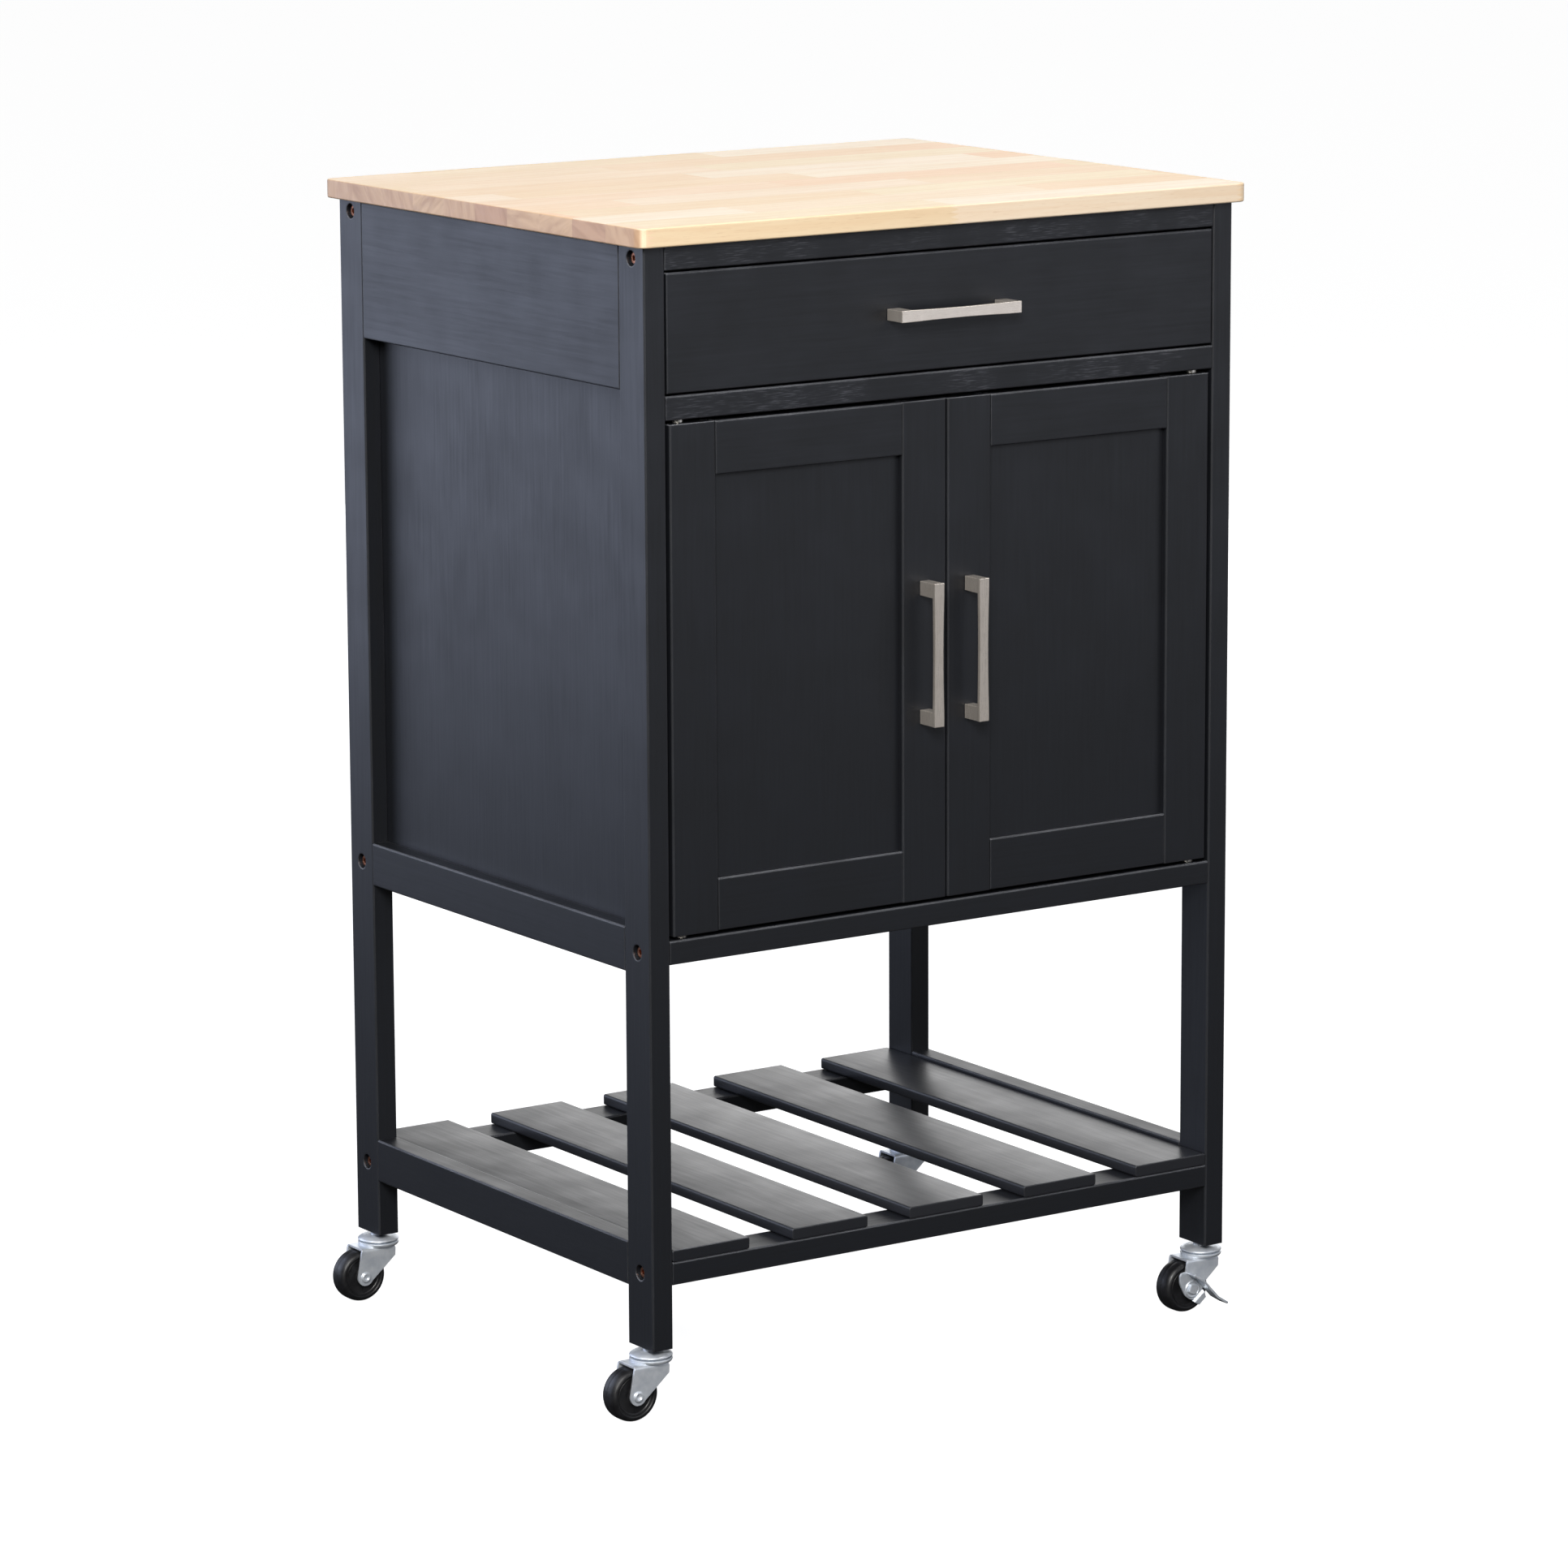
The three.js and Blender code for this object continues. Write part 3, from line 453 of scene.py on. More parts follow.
look = put(screws, "GeometryNodeInputNamedAttribute", {"Name": "facing"},
           data_type="FLOAT_VECTOR")
aim = put(screws, "FunctionNodeAlignRotationToVector", {"Vector": look.outputs[0]}, axis="Z")
placed = put(screws, "GeometryNodeInstanceOnPoints", {"Points": given.outputs["Geometry"],
             "Instance": head.outputs["Mesh"], "Rotation": aim.outputs[0]})
real = put(screws, "GeometryNodeRealizeInstances", {0: placed.outputs[0]})
done = put(screws, "GeometryNodeSetMaterial", {0: real.outputs[0],
           "Material": given.outputs["Finish"]})
screws.links.new(done.outputs[0], out.inputs[0])


def plated_metal(name, base, dull, rough, edge_highlight_colour, metallic=1.0):
    """A plated or bare metal: a base tone clouded with a duller one, fine pits, and edges
    lightened as a painted highlight.
    """
    metal, tree = surface(name)
    place = put(tree, "ShaderNodeTexCoord").outputs["Object"]
    cloud = put(tree, "ShaderNodeTexNoise", {"Vector": place, "Scale": 120.0, "Detail": 4.0})
    grit = put(tree, "ShaderNodeTexNoise", {"Vector": place, "Scale": 900.0, "Detail": 2.0})
    mixed = spread(tree, cloud.outputs["Fac"], 0.35, 0.68)
    tone = blend(tree, mixed.outputs[0], tint(base), tint(dull))
    soft = put(tree, "ShaderNodeBevel", {"Radius": 0.0006}, samples=4)
    flat = put(tree, "ShaderNodeNewGeometry")
    turn = put(tree, "ShaderNodeVectorMath", {0: soft.outputs[0], 1: flat.outputs["Normal"]},
               operation="DOT_PRODUCT")
    # edges lightened toward the given paler colour: a painted highlight
    edge_highlight = spread(tree, turn.outputs["Value"], 0.995, 0.85, 0.0, 0.6)
    colour_with_edge_highlight = blend(tree, edge_highlight.outputs[0], tone.outputs[2], tint(edge_highlight_colour))
    haze = spread(tree, grit.outputs["Fac"], 0.3, 0.7, rough - 0.05, rough + 0.08)
    bump = put(tree, "ShaderNodeBump", {"Strength": 0.12, "Distance": 0.0001,
               "Height": grit.outputs["Fac"], "Normal": soft.outputs[0]})
    skin = put(tree, "ShaderNodeBsdfPrincipled", {"Base Color": colour_with_edge_highlight.outputs[2],
               "Metallic": metallic, "Roughness": haze.outputs[0],
               "Normal": bump.outputs[0]})
    put(tree, "ShaderNodeOutputMaterial", {"Surface": skin.outputs[0]})
    return metal


# reddish bronze plating with a duller bloom, and a painted highlight along its edges
bronze = plated_metal("bronze plated bolt steel", "#b9836a", "#8a5a45", 0.34, "#d9ab92")
half_rail, head_sink = 0.009, 0.0069
bolt_levels = [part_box(rail)[0].z + half_rail
               for rail in ("front_top_rail", "front_bottom_rail", "shelf_front_rail")]
bolts_at, bolts_face = [], []
for side, out_x in (("left", -1), ("right", 1)):
    for end in ("front", "back"):
        low_leg, high_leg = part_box(f"leg_{end}_{side}")
        outer = low_leg.x if out_x < 0 else high_leg.x
        for level in bolt_levels:
            bolts_at.append((outer - out_x * head_sink, (low_leg.y + high_leg.y) / 2, level))
            bolts_face.append((out_x, 0, 0))
bolts = grown("rail_bolts", screws, {"Head radius": 0.0046, "Head height": 0.0042,
              "Rim chamfer": 0.0006, "Key sides": 6, "Key radius": 0.0023,
              "Key depth": 0.0026, "Shank radius": 0.003, "Shank length": 0.0105,
              "Finish": bronze}, bolts_at, bolts_face)
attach(bolts, "carcass")

# ---- Shelf slats ----
# Five flat rubberwood slats laid front to back over the shelf rails, their long edges rounded
# before they were painted. Each has its own tone in the coat.
slats, given, out = tree_of("slats side by side", [
    ("Slat width", "Float"), ("Slat thickness", "Float"), ("Slat length", "Float"),
    ("Edge radius", "Float"), ("Count", "Int"), ("Pitch", "Float"), ("First", "Vector"),
    ("Seed", "Int"), ("Finish", "Material")])
section = put(slats, "GeometryNodeCurvePrimitiveQuadrilateral", {
              "Width": given.outputs["Slat width"], "Height": given.outputs["Slat thickness"]})
eased = put(slats, "GeometryNodeFilletCurve", {0: section.outputs[0], "Count": 4,
            "Radius": given.outputs["Edge radius"]}, mode="POLY")
half = put(slats, "ShaderNodeMath", {0: given.outputs["Slat length"], 1: 0.5},
           operation="MULTIPLY")
back = put(slats, "ShaderNodeMath", {0: half.outputs[0], 1: -1.0}, operation="MULTIPLY")
tail = put(slats, "ShaderNodeCombineXYZ", {2: half.outputs[0]})
nose = put(slats, "ShaderNodeCombineXYZ", {2: back.outputs[0]})
line = put(slats, "GeometryNodeCurvePrimitiveLine", {"Start": nose.outputs[0],
           "End": tail.outputs[0]})
one = put(slats, "GeometryNodeCurveToMesh", {"Curve": line.outputs[0],
          "Profile Curve": eased.outputs[0], "Fill Caps": True})
laid = put(slats, "GeometryNodeTransform", {0: one.outputs[0],
           "Rotation": (math.radians(90), 0, 0)})
step = put(slats, "ShaderNodeCombineXYZ", {0: given.outputs["Pitch"]})
spots = put(slats, "GeometryNodeMeshLine", {"Count": given.outputs["Count"],
            "Start Location": given.outputs["First"], "Offset": step.outputs[0]})
placed = put(slats, "GeometryNodeInstanceOnPoints", {"Points": spots.outputs[0],
             "Instance": laid.outputs[0]})
chance = put(slats, "FunctionNodeRandomValue", {"Seed": given.outputs["Seed"]},
             data_type="FLOAT")
toned = put(slats, "GeometryNodeStoreNamedAttribute", {0: placed.outputs[0],
            "Name": "slat_tone", "Value": chance.outputs[1]}, data_type="FLOAT",
            domain="INSTANCE")
real = put(slats, "GeometryNodeRealizeInstances", {0: toned.outputs[0]})
done = put(slats, "GeometryNodeSetMaterial", {0: real.outputs[0],
           "Material": given.outputs["Finish"]})
slats.links.new(done.outputs[0], out.inputs[0])
one_low, one_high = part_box("shelf_slat_1")
two_low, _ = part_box("shelf_slat_2")
shelf = grown("shelf_slats", slats, {"Slat width": one_high.x - one_low.x,
              "Slat thickness": one_high.z - one_low.z,
              "Slat length": one_high.y - one_low.y, "Edge radius": 0.0016, "Count": 5,
              "Pitch": two_low.x - one_low.x, "First": (one_low + one_high) / 2, "Seed": 24,
              "Finish": painted_wood("black lacquer on the slats", 1, 0.0, "slat_tone")})
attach(shelf, "carcass")
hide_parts(*[f"shelf_slat_{i}" for i in range(1, 6)])

# ---- Drawer ----
# A plain box of pale unfinished rubberwood with a thin bottom in its grooves, hung on two
# wooden runners, behind a painted front.


def bare_wood(name, grain, light, deep):
    """Planed unfinished wood with its grain along one axis."""
    timber, tree = surface(name)
    place = put(tree, "ShaderNodeTexCoord").outputs["Object"]
    # 4 mm bands drawn out to 150 mm, with 0.6 mm pores
    band, pore = [250.0] * 3, [1600.0] * 3
    band[grain], pore[grain] = 6.5, 110.0
    along = put(tree, "ShaderNodeMapping", {"Vector": place, "Scale": band})
    lines = put(tree, "ShaderNodeTexNoise", {"Vector": along.outputs[0], "Scale": 1.0,
                "Detail": 5.0, "Distortion": 0.5})
    finer = put(tree, "ShaderNodeMapping", {"Vector": place, "Scale": pore})
    pores = put(tree, "ShaderNodeTexNoise", {"Vector": finer.outputs[0], "Scale": 1.0})
    tone = put(tree, "ShaderNodeValToRGB", {"Fac": lines.outputs["Fac"]})
    tone.color_ramp.elements[0].position, tone.color_ramp.elements[1].position = 0.34, 0.7
    tone.color_ramp.elements[0].color = tint(light)
    tone.color_ramp.elements[1].color = tint(deep)
    dots = spread(tree, pores.outputs["Fac"], 0.6, 0.75, 0.0, 0.3)
    pored = blend(tree, dots.outputs[0], tone.outputs[0], tint("#a67c50"))
    matt = spread(tree, lines.outputs["Fac"], 0.3, 0.7, 0.55, 0.7)
    bump = put(tree, "ShaderNodeBump", {"Strength": 0.3, "Distance": 0.0002,
               "Height": lines.outputs["Fac"]})
    skin = put(tree, "ShaderNodeBsdfPrincipled", {"Base Color": pored.outputs[2],
               "Roughness": matt.outputs[0], "IOR": 1.5, "Normal": bump.outputs[0]})
    put(tree, "ShaderNodeOutputMaterial", {"Surface": skin.outputs[0]})
    return timber


pale_across = bare_wood("planed rubberwood, grain across", 0, "#e8cfa6", "#cfa873")
pale_deep = bare_wood("planed rubberwood, grain front to back", 1, "#e6cba0", "#cba26c")
for side in ("left", "right"):
    dress(f"drawer_side_{side}", pale_deep)
    dress(f"drawer_runner_{side}", pale_deep)
dress("drawer_back", pale_across)
dress("drawer_bottom", bare_wood("birch plywood, grain front to back", 1, "#ecdabb", "#dcc193"))
dress("drawer_front", paint_across)

# ---- Pulls ----
# Three bow pulls in brushed nickel: a flat bar, slimmer in its middle, that runs into two
# square posts. Each is held by two screws from the back.


def brushed_metal(name, grain):
    """Satin nickel plate brushed along one axis."""
    metal, tree = surface(name)
    place = put(tree, "ShaderNodeTexCoord").outputs["Object"]
    # brush lines 0.25 mm apart, drawn coarser than the real ones so that they show
    pitch = [4200.0] * 3
    pitch[grain] = 45.0
    along = put(tree, "ShaderNodeMapping", {"Vector": place, "Scale": pitch})
    lines = put(tree, "ShaderNodeTexNoise", {"Vector": along.outputs[0], "Scale": 1.0,
                "Detail": 3.0})
    cloud = put(tree, "ShaderNodeTexNoise", {"Vector": place, "Scale": 90.0, "Detail": 3.0})
    tone = blend(tree, cloud.outputs["Fac"], tint("#ece3d8"), tint("#d3c9bd"))
    haze = spread(tree, lines.outputs["Fac"], 0.3, 0.7, 0.26, 0.34)
    soft = put(tree, "ShaderNodeBevel", {"Radius": 0.0005}, samples=4)
    bump = put(tree, "ShaderNodeBump", {"Strength": 0.25, "Distance": 0.0001,
               "Height": lines.outputs["Fac"], "Normal": soft.outputs[0]})
    skin = put(tree, "ShaderNodeBsdfPrincipled", {"Base Color": tone.outputs[2],
               "Metallic": 0.78, "Roughness": haze.outputs[0], "Anisotropic": 0.4,
               "Normal": bump.outputs[0]})
    put(tree, "ShaderNodeOutputMaterial", {"Surface": skin.outputs[0]})
    return metal


def bow_pull(name, node, upright, material):
    """A pull over the CAD one: a waisted flat bar, and a post under each of its ends."""
    low_end, high_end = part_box(node)
    middle = (low_end + high_end) / 2
    size = high_end - low_end
    length = (size.z if upright else size.x) / 2
    width = (size.x if upright else size.z) / 2
    root, face, post, bar = high_end.y, low_end.y, 0.0112, 0.0030
    waist, rise, inset, steps = 0.13, 0.0003, 0.0001, 12

    def at(a, d, w):
        return (middle.x + w, d, middle.z + a) if upright else (middle.x + a, d, middle.z + w)

    bm = bmesh.new()
    columns = []
    for k in range(2 * steps + 1):
        a = length * (k / steps - 1)
        w = width * (1 - waist * (1 - min(1, abs(a) / (length - post)) ** 2))
        bow = face + rise * (1 - (a / length) ** 2)
        columns.append([bm.verts.new(at(a, d, v)) for d, v in (
            (bow, -w), (bow, w), (bow + bar, w), (bow + bar, -w))])
    for one, two in zip(columns, columns[1:]):
        for i in range(4):
            bm.faces.new((one[i], one[(i + 1) % 4], two[(i + 1) % 4], two[i]))
    bm.faces.new(columns[0])
    bm.faces.new(list(reversed(columns[-1])))
    # the posts stand a little inside the bar's ends and sides, and flare as they run into it
    for end in (-1, 1):
        ring = []
        for d in (root, face + bar * 0.6):
            flare = 0.0 if d == root else 0.0004
            ring.append([bm.verts.new(at(end * a, d, v)) for a, v in (
                (length - inset, -width + inset), (length - inset, width - inset),
                (length - post - flare, width - inset),
                (length - post - flare, -width + inset))])
        for i in range(4):
            j = (i + 1) % 4
            bm.faces.new((ring[0][i], ring[0][j], ring[1][j], ring[1][i]))
        bm.faces.new(ring[0])
        bm.faces.new(list(reversed(ring[1])))
    return ease(solid_of(name, bm, material), 0.0004, 2, 50)


nickel_across = brushed_metal("brushed nickel, across", 0)
nickel_upright = brushed_metal("brushed nickel, upright", 2)
for name, node, body, upright, metal in (
    ("drawer_bow_pull", "drawer_pull", "drawer", False, nickel_across),
    ("door_bow_pull_left", "door_left_pull", "door_left", True, nickel_upright),
    ("door_bow_pull_right", "door_right_pull", "door_right", True, nickel_upright),
):
    pull = bow_pull(name, node, upright, metal)
    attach(pull, body)
    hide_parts(node)

# Pan-head screws with a square drive: two behind each pull, three in each drawer runner
screw_size = {"Head radius": 0.0038, "Head height": 0.0019, "Rim chamfer": 0.0008,
              "Key sides": 4, "Key radius": 0.0015, "Key depth": 0.0013,
              "Shank radius": 0.0016, "Shank length": 0.006}
half_post, flange, below_top, seat = 0.0056, 0.014, 0.0095, 0.0016
first_screw, screw_pitch, runner_head = 0.0292, 0.155, 0.0034
# yellowish passivated zinc, with a painted highlight along its edges
screw_zinc = plated_metal("yellow passivated screw zinc", "#cdbb8e", "#a8946a", 0.36, "#e6dcc0")
for body, node, behind, upright in (("drawer", "drawer_pull", "drawer_front", False),
                                    ("door_left", "door_left_pull", "door_left_inner_stile", True),
                                    ("door_right", "door_right_pull",
                                     "door_right_inner_stile", True)):
    low_end, high_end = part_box(node)
    middle = (low_end + high_end) / 2
    back_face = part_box(behind)[1].y
    reach = ((high_end - low_end).z if upright else (high_end - low_end).x) / 2 - half_post
    spots = [(middle.x, back_face, middle.z + s * reach) if upright else
             (middle.x + s * reach, back_face, middle.z) for s in (-1, 1)]
    held = grown(f"{node}_screws", screws, {**screw_size, "Finish": screw_zinc}, spots,
                 [(0, 1, 0)] * 2)
    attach(held, body)
spots, facings = [], []
for side, inward in (("left", 1), ("right", -1)):
    low_end, high_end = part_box(f"drawer_runner_{side}")
    x = high_end.x - flange if inward > 0 else low_end.x + flange
    for k in range(3):
        spots.append((x - inward * seat, low_end.y + first_screw + k * screw_pitch,
                      high_end.z - below_top))
        facings.append((inward, 0, 0))
held = grown("runner_screws", screws, {**screw_size, "Finish": screw_zinc,
             "Head radius": runner_head}, spots, facings)
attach(held, "carcass")

# ---- Doors ----
# Frame-and-panel doors: two stiles and two rails grooved round a thin flat panel, sprayed
# like the frame. Each turns on two steel pins let into the rails above and below.
for side in ("left", "right"):
    for part in ("outer_stile", "inner_stile", "panel"):
        dress(f"door_{side}_{part}", paint_upright)
    for part in ("top_rail", "bottom_rail"):
        dress(f"door_{side}_{part}", paint_across)
# bare bright steel, with small sharp glints and a painted highlight along its edges
pin_steel = plated_metal("bright steel pin", "#d9d6cf", "#b9b3a8", 0.25, "#efece6")
for side in ("left", "right"):
    for level in ("top", "bottom"):
        dress(f"pivot_pin_{side}_{level}", pin_steel)

# Magnetic catches: a matt black moulded case under the middle rail for each door, and a
# small bright steel plate on the back of the door that it holds
case_black, tree = surface("black moulded ABS")
place = put(tree, "ShaderNodeTexCoord").outputs["Object"]
spark = put(tree, "ShaderNodeTexNoise", {"Vector": place, "Scale": 1500.0, "Detail": 2.0})
shade = blend(tree, spark.outputs["Fac"], tint("#1b1b1d"), tint("#29292c"))
bump = put(tree, "ShaderNodeBump", {"Strength": 0.25, "Distance": 0.0001,
           "Height": spark.outputs["Fac"]})
skin = put(tree, "ShaderNodeBsdfPrincipled", {"Base Color": shade.outputs[2],
           "Roughness": 0.45, "IOR": 1.53, "Normal": bump.outputs[0]})
put(tree, "ShaderNodeOutputMaterial", {"Surface": skin.outputs[0]})


def slab(bm, low_corner, high_corner):
    """One closed block between two corners, to be eased with the rest of its piece."""
    made = bmesh.ops.create_cube(bm, size=1.0)["verts"]
    size = Vector(high_corner) - Vector(low_corner)
    for v in made:
        v.co = Vector(low_corner) + Vector([(c + 0.5) * s for c, s in zip(v.co, size)])


rail_low, rail_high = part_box("front_mid_rail")
back_y = rail_high.y - 0.0015
ear_half, case_half, plate_half = 0.0145, 0.0100, 0.0090
for side, aside in (("left", -0.009075), ("right", 0.009125)):
    stile_low, stile_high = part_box(f"door_{side}_inner_stile")
    x = (stile_low.x + stile_high.x) / 2 + aside
    bm = bmesh.new()
    slab(bm, (x - ear_half, back_y - 0.0125, rail_low.z - 0.0030),
         (x + ear_half, back_y, rail_low.z))
    slab(bm, (x - case_half, back_y - 0.0140, rail_low.z - 0.0115),
         (x + case_half, back_y - 0.0005, rail_low.z - 0.0020))
    catch = ease(solid_of(f"catch_case_{side}", bm, case_black), 0.0008, 3)
    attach(catch, "carcass")
    door_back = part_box(f"door_{side}_top_rail")[1]
    bm = bmesh.new()
    slab(bm, (x - plate_half, door_back.y - 0.0002, rail_low.z - 0.0160),
         (x + plate_half, door_back.y + 0.0012, rail_low.z - 0.0050))
    plate = ease(solid_of(f"catch_plate_{side}", bm, pin_steel), 0.0004, 2)
    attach(plate, f"door_{side}")

# ---- Casters ----
# Pressed, zinc plated forks under a double ball race, on a stem driven up into the leg.
# A hollow rivet carries each black wheel.
# The zinc is cool and clouded, with a painted highlight that lightens its bends and edges.
zinc = plated_metal("bright zinc plate", "#e4e9ef", "#ccd3dc", 0.40, "#f1f4f8", 0.62)


def lathe(bm, profile, centre, axis, steps=48):
    """Turns a closed (radius, height) profile round an axis, 'y' or 'z', at a centre."""
    rings = []
    for r, h in profile:
        if r < 1e-6:
            at = (centre[0], centre[1] + h, centre[2]) if axis == "y" else (
                centre[0], centre[1], centre[2] + h)
            rings.append([bm.verts.new(at)] * steps)
            continue
        ring = []
        for k in range(steps):
            a = 2 * math.pi * k / steps
            u, v = r * math.cos(a), r * math.sin(a)
            at = (centre[0] + u, centre[1] + h, centre[2] + v) if axis == "y" else (
                centre[0] + u, centre[1] + v, centre[2] + h)
            ring.append(bm.verts.new(at))
        rings.append(ring)
    closed = profile[0][0] > 1e-6
    for i in range(len(rings) if closed else len(rings) - 1):
        one, two = rings[i], rings[(i + 1) % len(rings)]
        for k in range(steps):
            corners = []
            for v in (one[k], one[(k + 1) % steps], two[(k + 1) % steps], two[k]):
                if v not in corners:
                    corners.append(v)
            if len(corners) > 2:
                bm.faces.new(corners)


mm = 0.001
cheek_out, sheet_thick, fork_top, plate_low = 12.0, 1.8, 44.3, 43.9
trail, axle_z, tip, nose, nose_ahead = 19, 20.75, 7, 13, 1
shoulder_z, shoulder_x, toe_z, toe_x, boss = 35.5, 8.5, 17.19, -12.975, (-16.2, -14.4)


def fork_edges(z):
    """How far a cheek reaches back and forward of the stem at a height, in millimetres."""
    round_tip = math.sqrt(max(0.0, tip ** 2 - (z - axle_z) ** 2))
    if z >= axle_z:
        back = -trail - tip + 4 * (z - axle_z) / (plate_low - axle_z)
    else:
        back = -trail - round_tip
    if z >= shoulder_z:
        front = shoulder_x + 0.5 * (z - shoulder_z) / (plate_low - shoulder_z)
    elif z >= toe_z:
        front = toe_x + (shoulder_x - toe_x) * (z - toe_z) / (shoulder_z - toe_z)
    else:
        front = -trail + round_tip
    return back, front


def pressed_fork(bm, x, y):
    """The bent sheet: flat plate, 2.6 mm bends, and two cheeks, drawn as outer and inner skins."""
    bend = 2.6
    levels = [13.85, 14.4, 15.2, 16.2, 17.19, 19, 20.75, 24, 28, 32, 35.5, 38, 40, fork_top - bend]
    half = []
    for z in levels:
        half.append((cheek_out, z, *fork_edges(z), 1, 0))
    for k in range(1, 6):
        a = math.radians(k * 90 / 5)
        yy = cheek_out - bend + bend * math.cos(a)
        zz = fork_top - bend + bend * math.sin(a)
        back, front = fork_edges(min(zz, plate_low))
        front += (nose_ahead + math.sqrt(nose ** 2 - yy ** 2) - front) * k / 5
        half.append((yy, zz, back, front, math.cos(a), math.sin(a)))
    for yy in (7.5, 5, 2.5, 0):
        half.append((yy, fork_top, -22, nose_ahead + math.sqrt(nose ** 2 - yy ** 2), 0, 1))
    rows = half + [(-yy, zz, b, f, -ny, nz) for yy, zz, b, f, ny, nz in reversed(half[:-1])]
    skins = []
    columns = 8
    for inward in (0, sheet_thick):
        grid = []
        for yy, zz, b, f, ny, nz in rows:
            grid.append([bm.verts.new(((x + b + (f - b) * c / columns) * mm,
                                       (y + yy - ny * inward) * mm,
                                       (zz - nz * inward) * mm)) for c in range(columns + 1)])
        skins.append(grid)
    outer, inner = skins
    for r in range(len(rows) - 1):
        for c in range(columns):
            bm.faces.new((outer[r][c], outer[r][c + 1], outer[r + 1][c + 1], outer[r + 1][c]))
            bm.faces.new((inner[r][c], inner[r + 1][c], inner[r + 1][c + 1], inner[r][c + 1]))
        for c in (0, columns):
            bm.faces.new((outer[r][c], outer[r + 1][c], inner[r + 1][c], inner[r][c]))
    for r in (0, len(rows) - 1):
        for c in range(columns):
            bm.faces.new((outer[r][c], outer[r][c + 1], inner[r][c + 1], inner[r][c]))


def softened(points, radius, steps=5):
    """A closed outline with every corner turned into an arc."""
    out = []
    for i, here in enumerate(points):
        before, after = Vector(points[i - 1]), Vector(points[(i + 1) % len(points)])
        here = Vector(here)
        into, onward = (before - here), (after - here)
        reach = min(radius, into.length * 0.45, onward.length * 0.45)
        a, b = here + into.normalized() * reach, here + onward.normalized() * reach
        for k in range(steps + 1):
            t = k / steps
            out.append(tuple((1 - t) ** 2 * a + 2 * t * (1 - t) * here + t * t * b))
    return out


def sheet_metal(bm, points, centre, y_from, y_to):
    """An outline in x and z, in millimetres about a centre, cut through from one y to another."""
    rows = [[bm.verts.new((centre.x + px * mm, centre.y + yy * mm, centre.z + pz * mm))
             for px, pz in points] for yy in (y_from, y_to)]
    bm.faces.new(rows[0])
    bm.faces.new(list(reversed(rows[1])))
    for i in range(len(points)):
        j = (i + 1) % len(points)
        bm.faces.new((rows[0][i], rows[0][j], rows[1][j], rows[1][i]))


races = [  # lower race, from the plate up, then the gap and the domed upper race
    [(0, 43.4), (14.4, 43.4), (15.4, 43.9), (16.1, 44.7), (16.45, 45.7), (16.3, 46.4),
     (15.7, 46.7), (13.4, 46.8), (13.4, 47.9), (15.6, 47.95), (16.3, 48.1), (16.5, 48.6),
     (16.3, 49.1), (15.6, 49.7), (14.4, 50.5), (12.9, 51.2), (11.4, 51.5), (6.6, 51.6),
     (6.2, 51.8), (6.0, 52.4), (6.0, 54.3), (5.6, 54.7), (0, 54.7)],
    [(0, 54.2), (4, 54.2), (4, 91), (3.2, 92), (0, 92)],
]
head_cup = [(0, 0.2), (0.9, 0.2), (1.5, 0.5), (2.0, 1.3), (2.7, 1.6), (3.6, 1.45), (4.2, 0.9),
            (4.3, 0.2), (4.3, -0.4), (0, -0.4)]

# the tyre's black is dull and slightly dusty, smoother where it has no dust
mould, tree = surface("black thermoplastic rubber")
place = put(tree, "ShaderNodeTexCoord").outputs["Object"]
dust = put(tree, "ShaderNodeTexNoise", {"Vector": place, "Scale": 160.0, "Detail": 5.0})
skin_grit = put(tree, "ShaderNodeTexNoise", {"Vector": place, "Scale": 1800.0, "Detail": 2.0})
dusty = spread(tree, dust.outputs["Fac"], 0.45, 0.75, 0.0, 0.4)
black = blend(tree, dusty.outputs[0], tint("#131315"), tint("#242427"))
grip = spread(tree, dust.outputs["Fac"], 0.3, 0.7, 0.34, 0.52)
bump = put(tree, "ShaderNodeBump", {"Strength": 0.15, "Distance": 0.0001,
           "Height": skin_grit.outputs["Fac"]})
skin = put(tree, "ShaderNodeBsdfPrincipled", {"Base Color": black.outputs[2],
           "Roughness": grip.outputs[0], "IOR": 1.52, "Normal": bump.outputs[0]})
put(tree, "ShaderNodeOutputMaterial", {"Surface": skin.outputs[0]})

# wheel section from the bore out: hub boss, sunk web, thin moulded ring, rim and crowned tread
half_wheel = [(3.05, 7.6), (5.6, 7.6), (6.4, 7.0), (7.2, 6.9), (13.6, 6.9), (14.0, 7.5),
              (14.6, 7.6), (15.0, 7.1), (15.5, 7.2), (15.9, 8.2), (16.4, 8.7), (17.4, 8.7),
              (18.6, 8.2), (19.5, 7.4), (20.2, 6.1), (20.6, 4.4), (20.75, 2.4), (20.75, 0.35)]
wheel_ring = [(r * mm, h * mm) for r, h in half_wheel]
wheel_ring += [(20.6 * mm, 0.0)]  # the moulding's parting line
wheel_ring += [(r * mm, -h * mm) for r, h in reversed(half_wheel)]

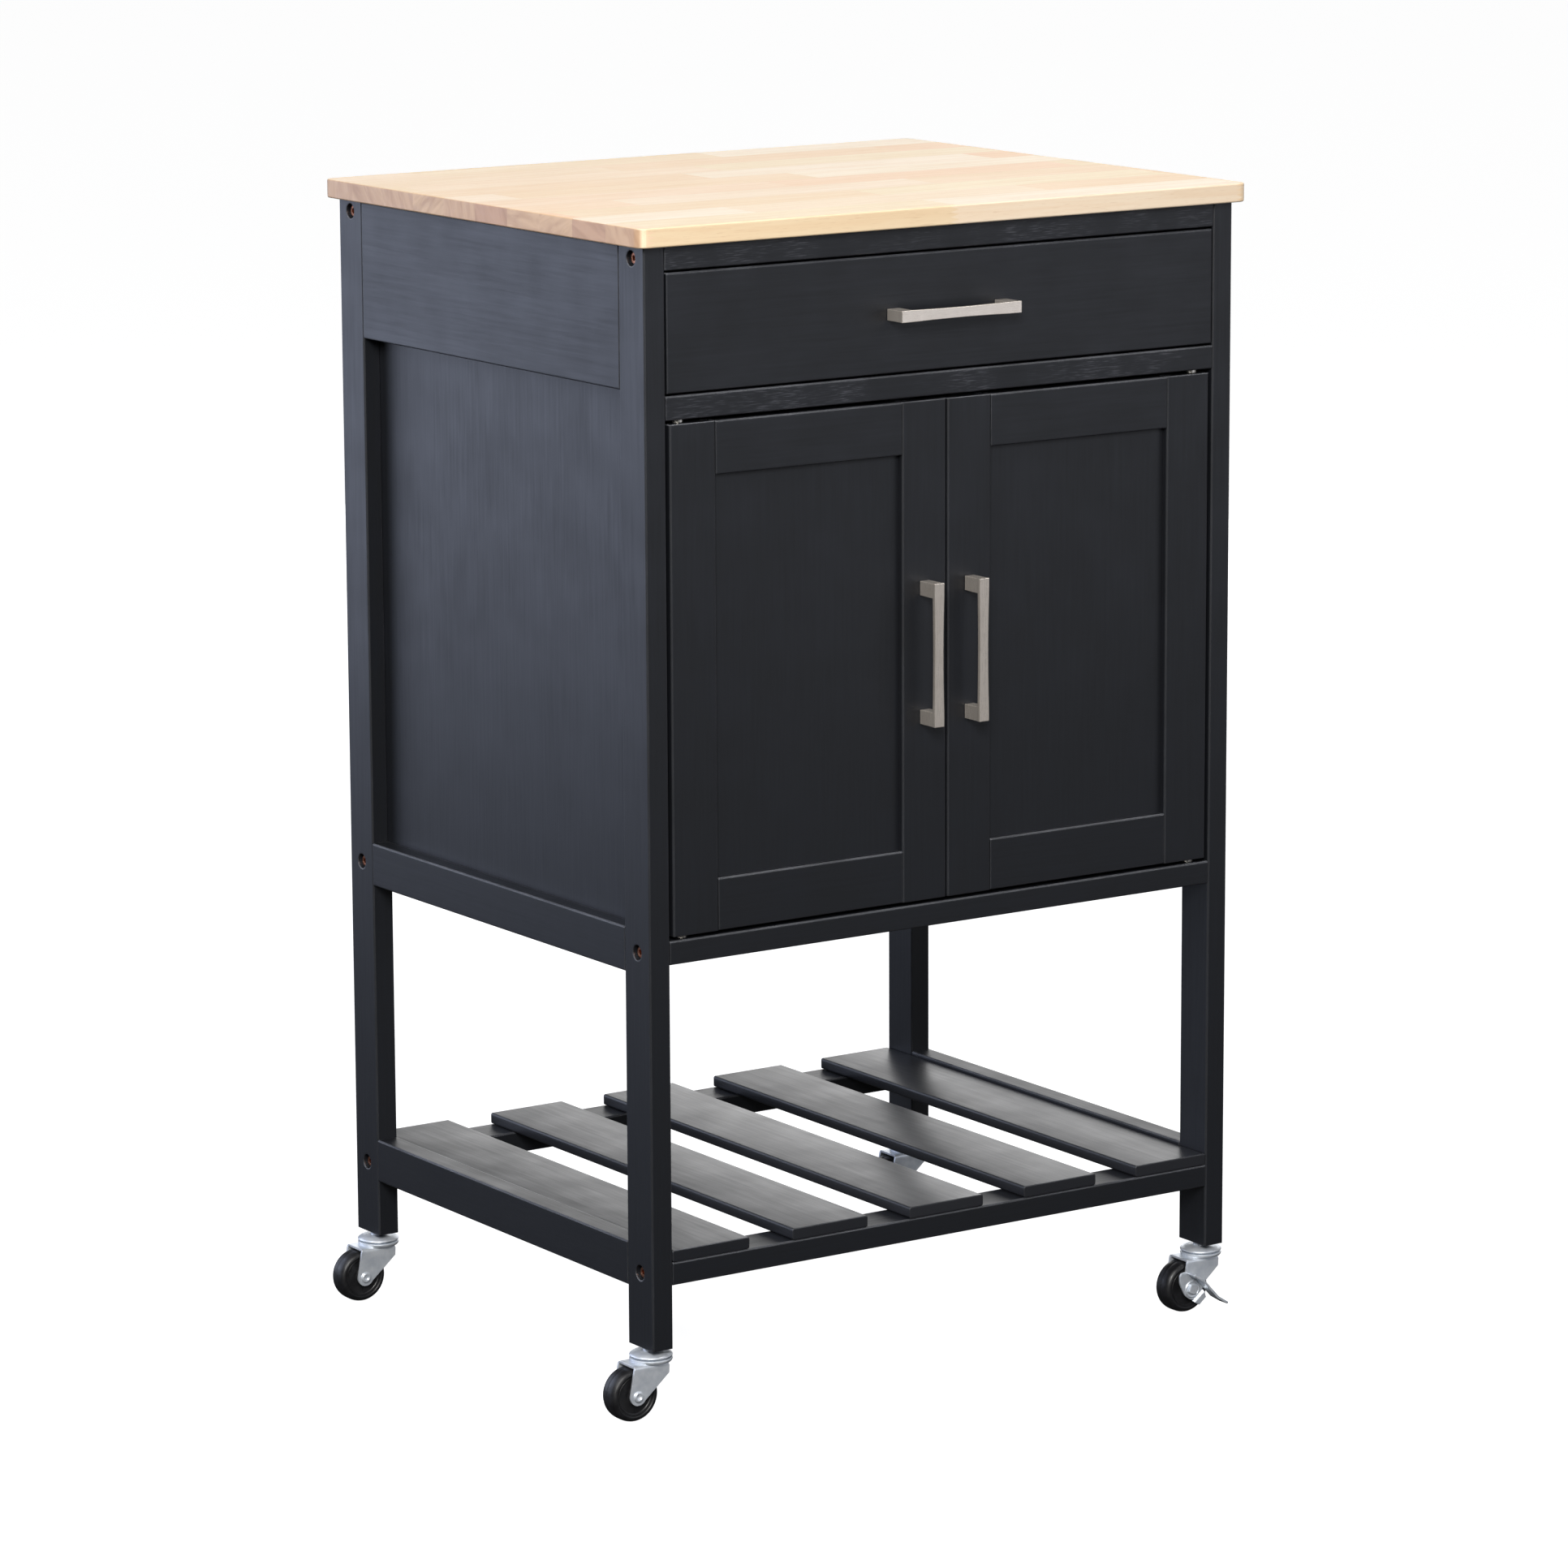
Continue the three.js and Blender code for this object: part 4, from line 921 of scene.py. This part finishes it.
for side in ("left", "right"):
    for end in ("front", "back"):
        where = f"{end}_{side}"
        wheel_low, wheel_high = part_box("caster_wheel_" + where)
        hub = (wheel_low + wheel_high) / 2
        x, y = hub.x / mm + trail, hub.y / mm
        braked = where == "front_right"
        bm = bmesh.new()
        pressed_fork(bm, x, y)
        for turned in races:
            lathe(bm, [(r * mm, h * mm) for r, h in turned], (x * mm, y * mm, 0), "z", 56)
        outer = (cheek_out + (2.6 if braked else 0)) * mm
        if braked:  # the brake's square boss stands on the near cheek instead of a rivet head
            key = [(5.0 * math.cos(math.radians(q)), 5.0 * math.sin(math.radians(q)))
                   for q in (25, 115, 205, 295)]
            sheet_metal(bm, softened(key, 1.6), hub, *boss)
        heads = [(1, cheek_out * mm)] if braked else [(1, cheek_out * mm), (-1, outer)]
        for sign, reach in heads:
            cup = [(r * mm, sign * (reach + h * mm)) for r, h in head_cup]
            lathe(bm, cup, (hub.x, hub.y, hub.z), "y", 32)
        lathe(bm, [(0, -outer), (3 * mm, -outer), (3 * mm, cheek_out * mm),
                   (0, cheek_out * mm)], (hub.x, hub.y, hub.z), "y", 32)
        fork = solid_of("caster_frame_" + where, bm, zinc, 40)
        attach(fork, "caster_" + where)
        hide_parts("caster_fork_" + where)
        bm = bmesh.new()
        lathe(bm, wheel_ring, (hub.x, hub.y, hub.z), "y", 72)
        for q in (30, 150, 270):
            c, t = math.cos(math.radians(q)), math.sin(math.radians(q))
            rib = [(r * c - w * t, r * t + w * c)
                   for r, w in ((6.9, -0.45), (13.9, -0.45), (13.9, 0.45), (6.9, 0.45))]
            sheet_metal(bm, rib, hub, 6.5, 7.5)
            sheet_metal(bm, rib, hub, -7.5, -6.5)
        tyre = solid_of("caster_tyre_" + where, bm, mould, 50)
        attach(tyre, "wheel_" + where)
        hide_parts("caster_wheel_" + where)

# ---- Brake lever ----
# A cam plate on the rivet outside the front cheek of one caster, with a bent foot pedal, cut
# and pressed from one zinc plated sheet. It turns on the rivet.
wheel_low, wheel_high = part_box("caster_wheel_front_right")
hub = (wheel_low + wheel_high) / 2
cam = [(-12, 14.5), (-12.5, 6), (-7, -5), (0.2, -9.8), (10.2, -1.7), (12, 0.5), (4, 9), (-5, 15)]
pedal = [(-5, 15), (-5.6, 13.2), (3.4, 7.6), (11.2, -1), (18, -8.4), (28, -14.6), (29, -13),
         (19.4, -6.8), (12.6, 0.4), (4.4, 9.4)]
bm = bmesh.new()
sheet_metal(bm, softened(cam, 3.0), hub, -14.3, -12.5)
sheet_metal(bm, softened(pedal, 1.2), hub, -24.2, -14.1)
# pressed collar round the eye
lathe(bm, [(5.6 * mm, -14.2 * mm), (5.8 * mm, -15.0 * mm), (6.6 * mm, -15.1 * mm),
           (7.4 * mm, -14.2 * mm)], (hub.x, hub.y, hub.z), "y", 40)
# joggled corner: a sloping step out to a small flat toe
slope = [((0.2, -9.8), (10.2, -1.7), -14.3), ((1.3, -11.0), (11.2, -3.2), -16.0),
         ((6.0, -13.6), (12.6, -8.2), -16.0)]
skins = []
for inward in (0, 1.5):
    skins.append([[bm.verts.new((hub.x + px * mm, hub.y + (yy + inward) * mm, hub.z + pz * mm))
                   for px, pz in (a, b)] for a, b, yy in slope])
for k in range(2):
    near, far = skins[0], skins[1]
    bm.faces.new((near[k][0], near[k][1], near[k + 1][1], near[k + 1][0]))
    bm.faces.new((far[k][0], far[k + 1][0], far[k + 1][1], far[k][1]))
    for e in (0, 1):
        bm.faces.new((near[k][e], near[k + 1][e], far[k + 1][e], far[k][e]))
for k in (0, 2):
    bm.faces.new((near[k][0], near[k][1], far[k][1], far[k][0]))
lever = ease(solid_of("brake_cam_and_pedal", bm, zinc), 0.0004, 2, 50)
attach(lever, "brake")
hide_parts("brake_lever")
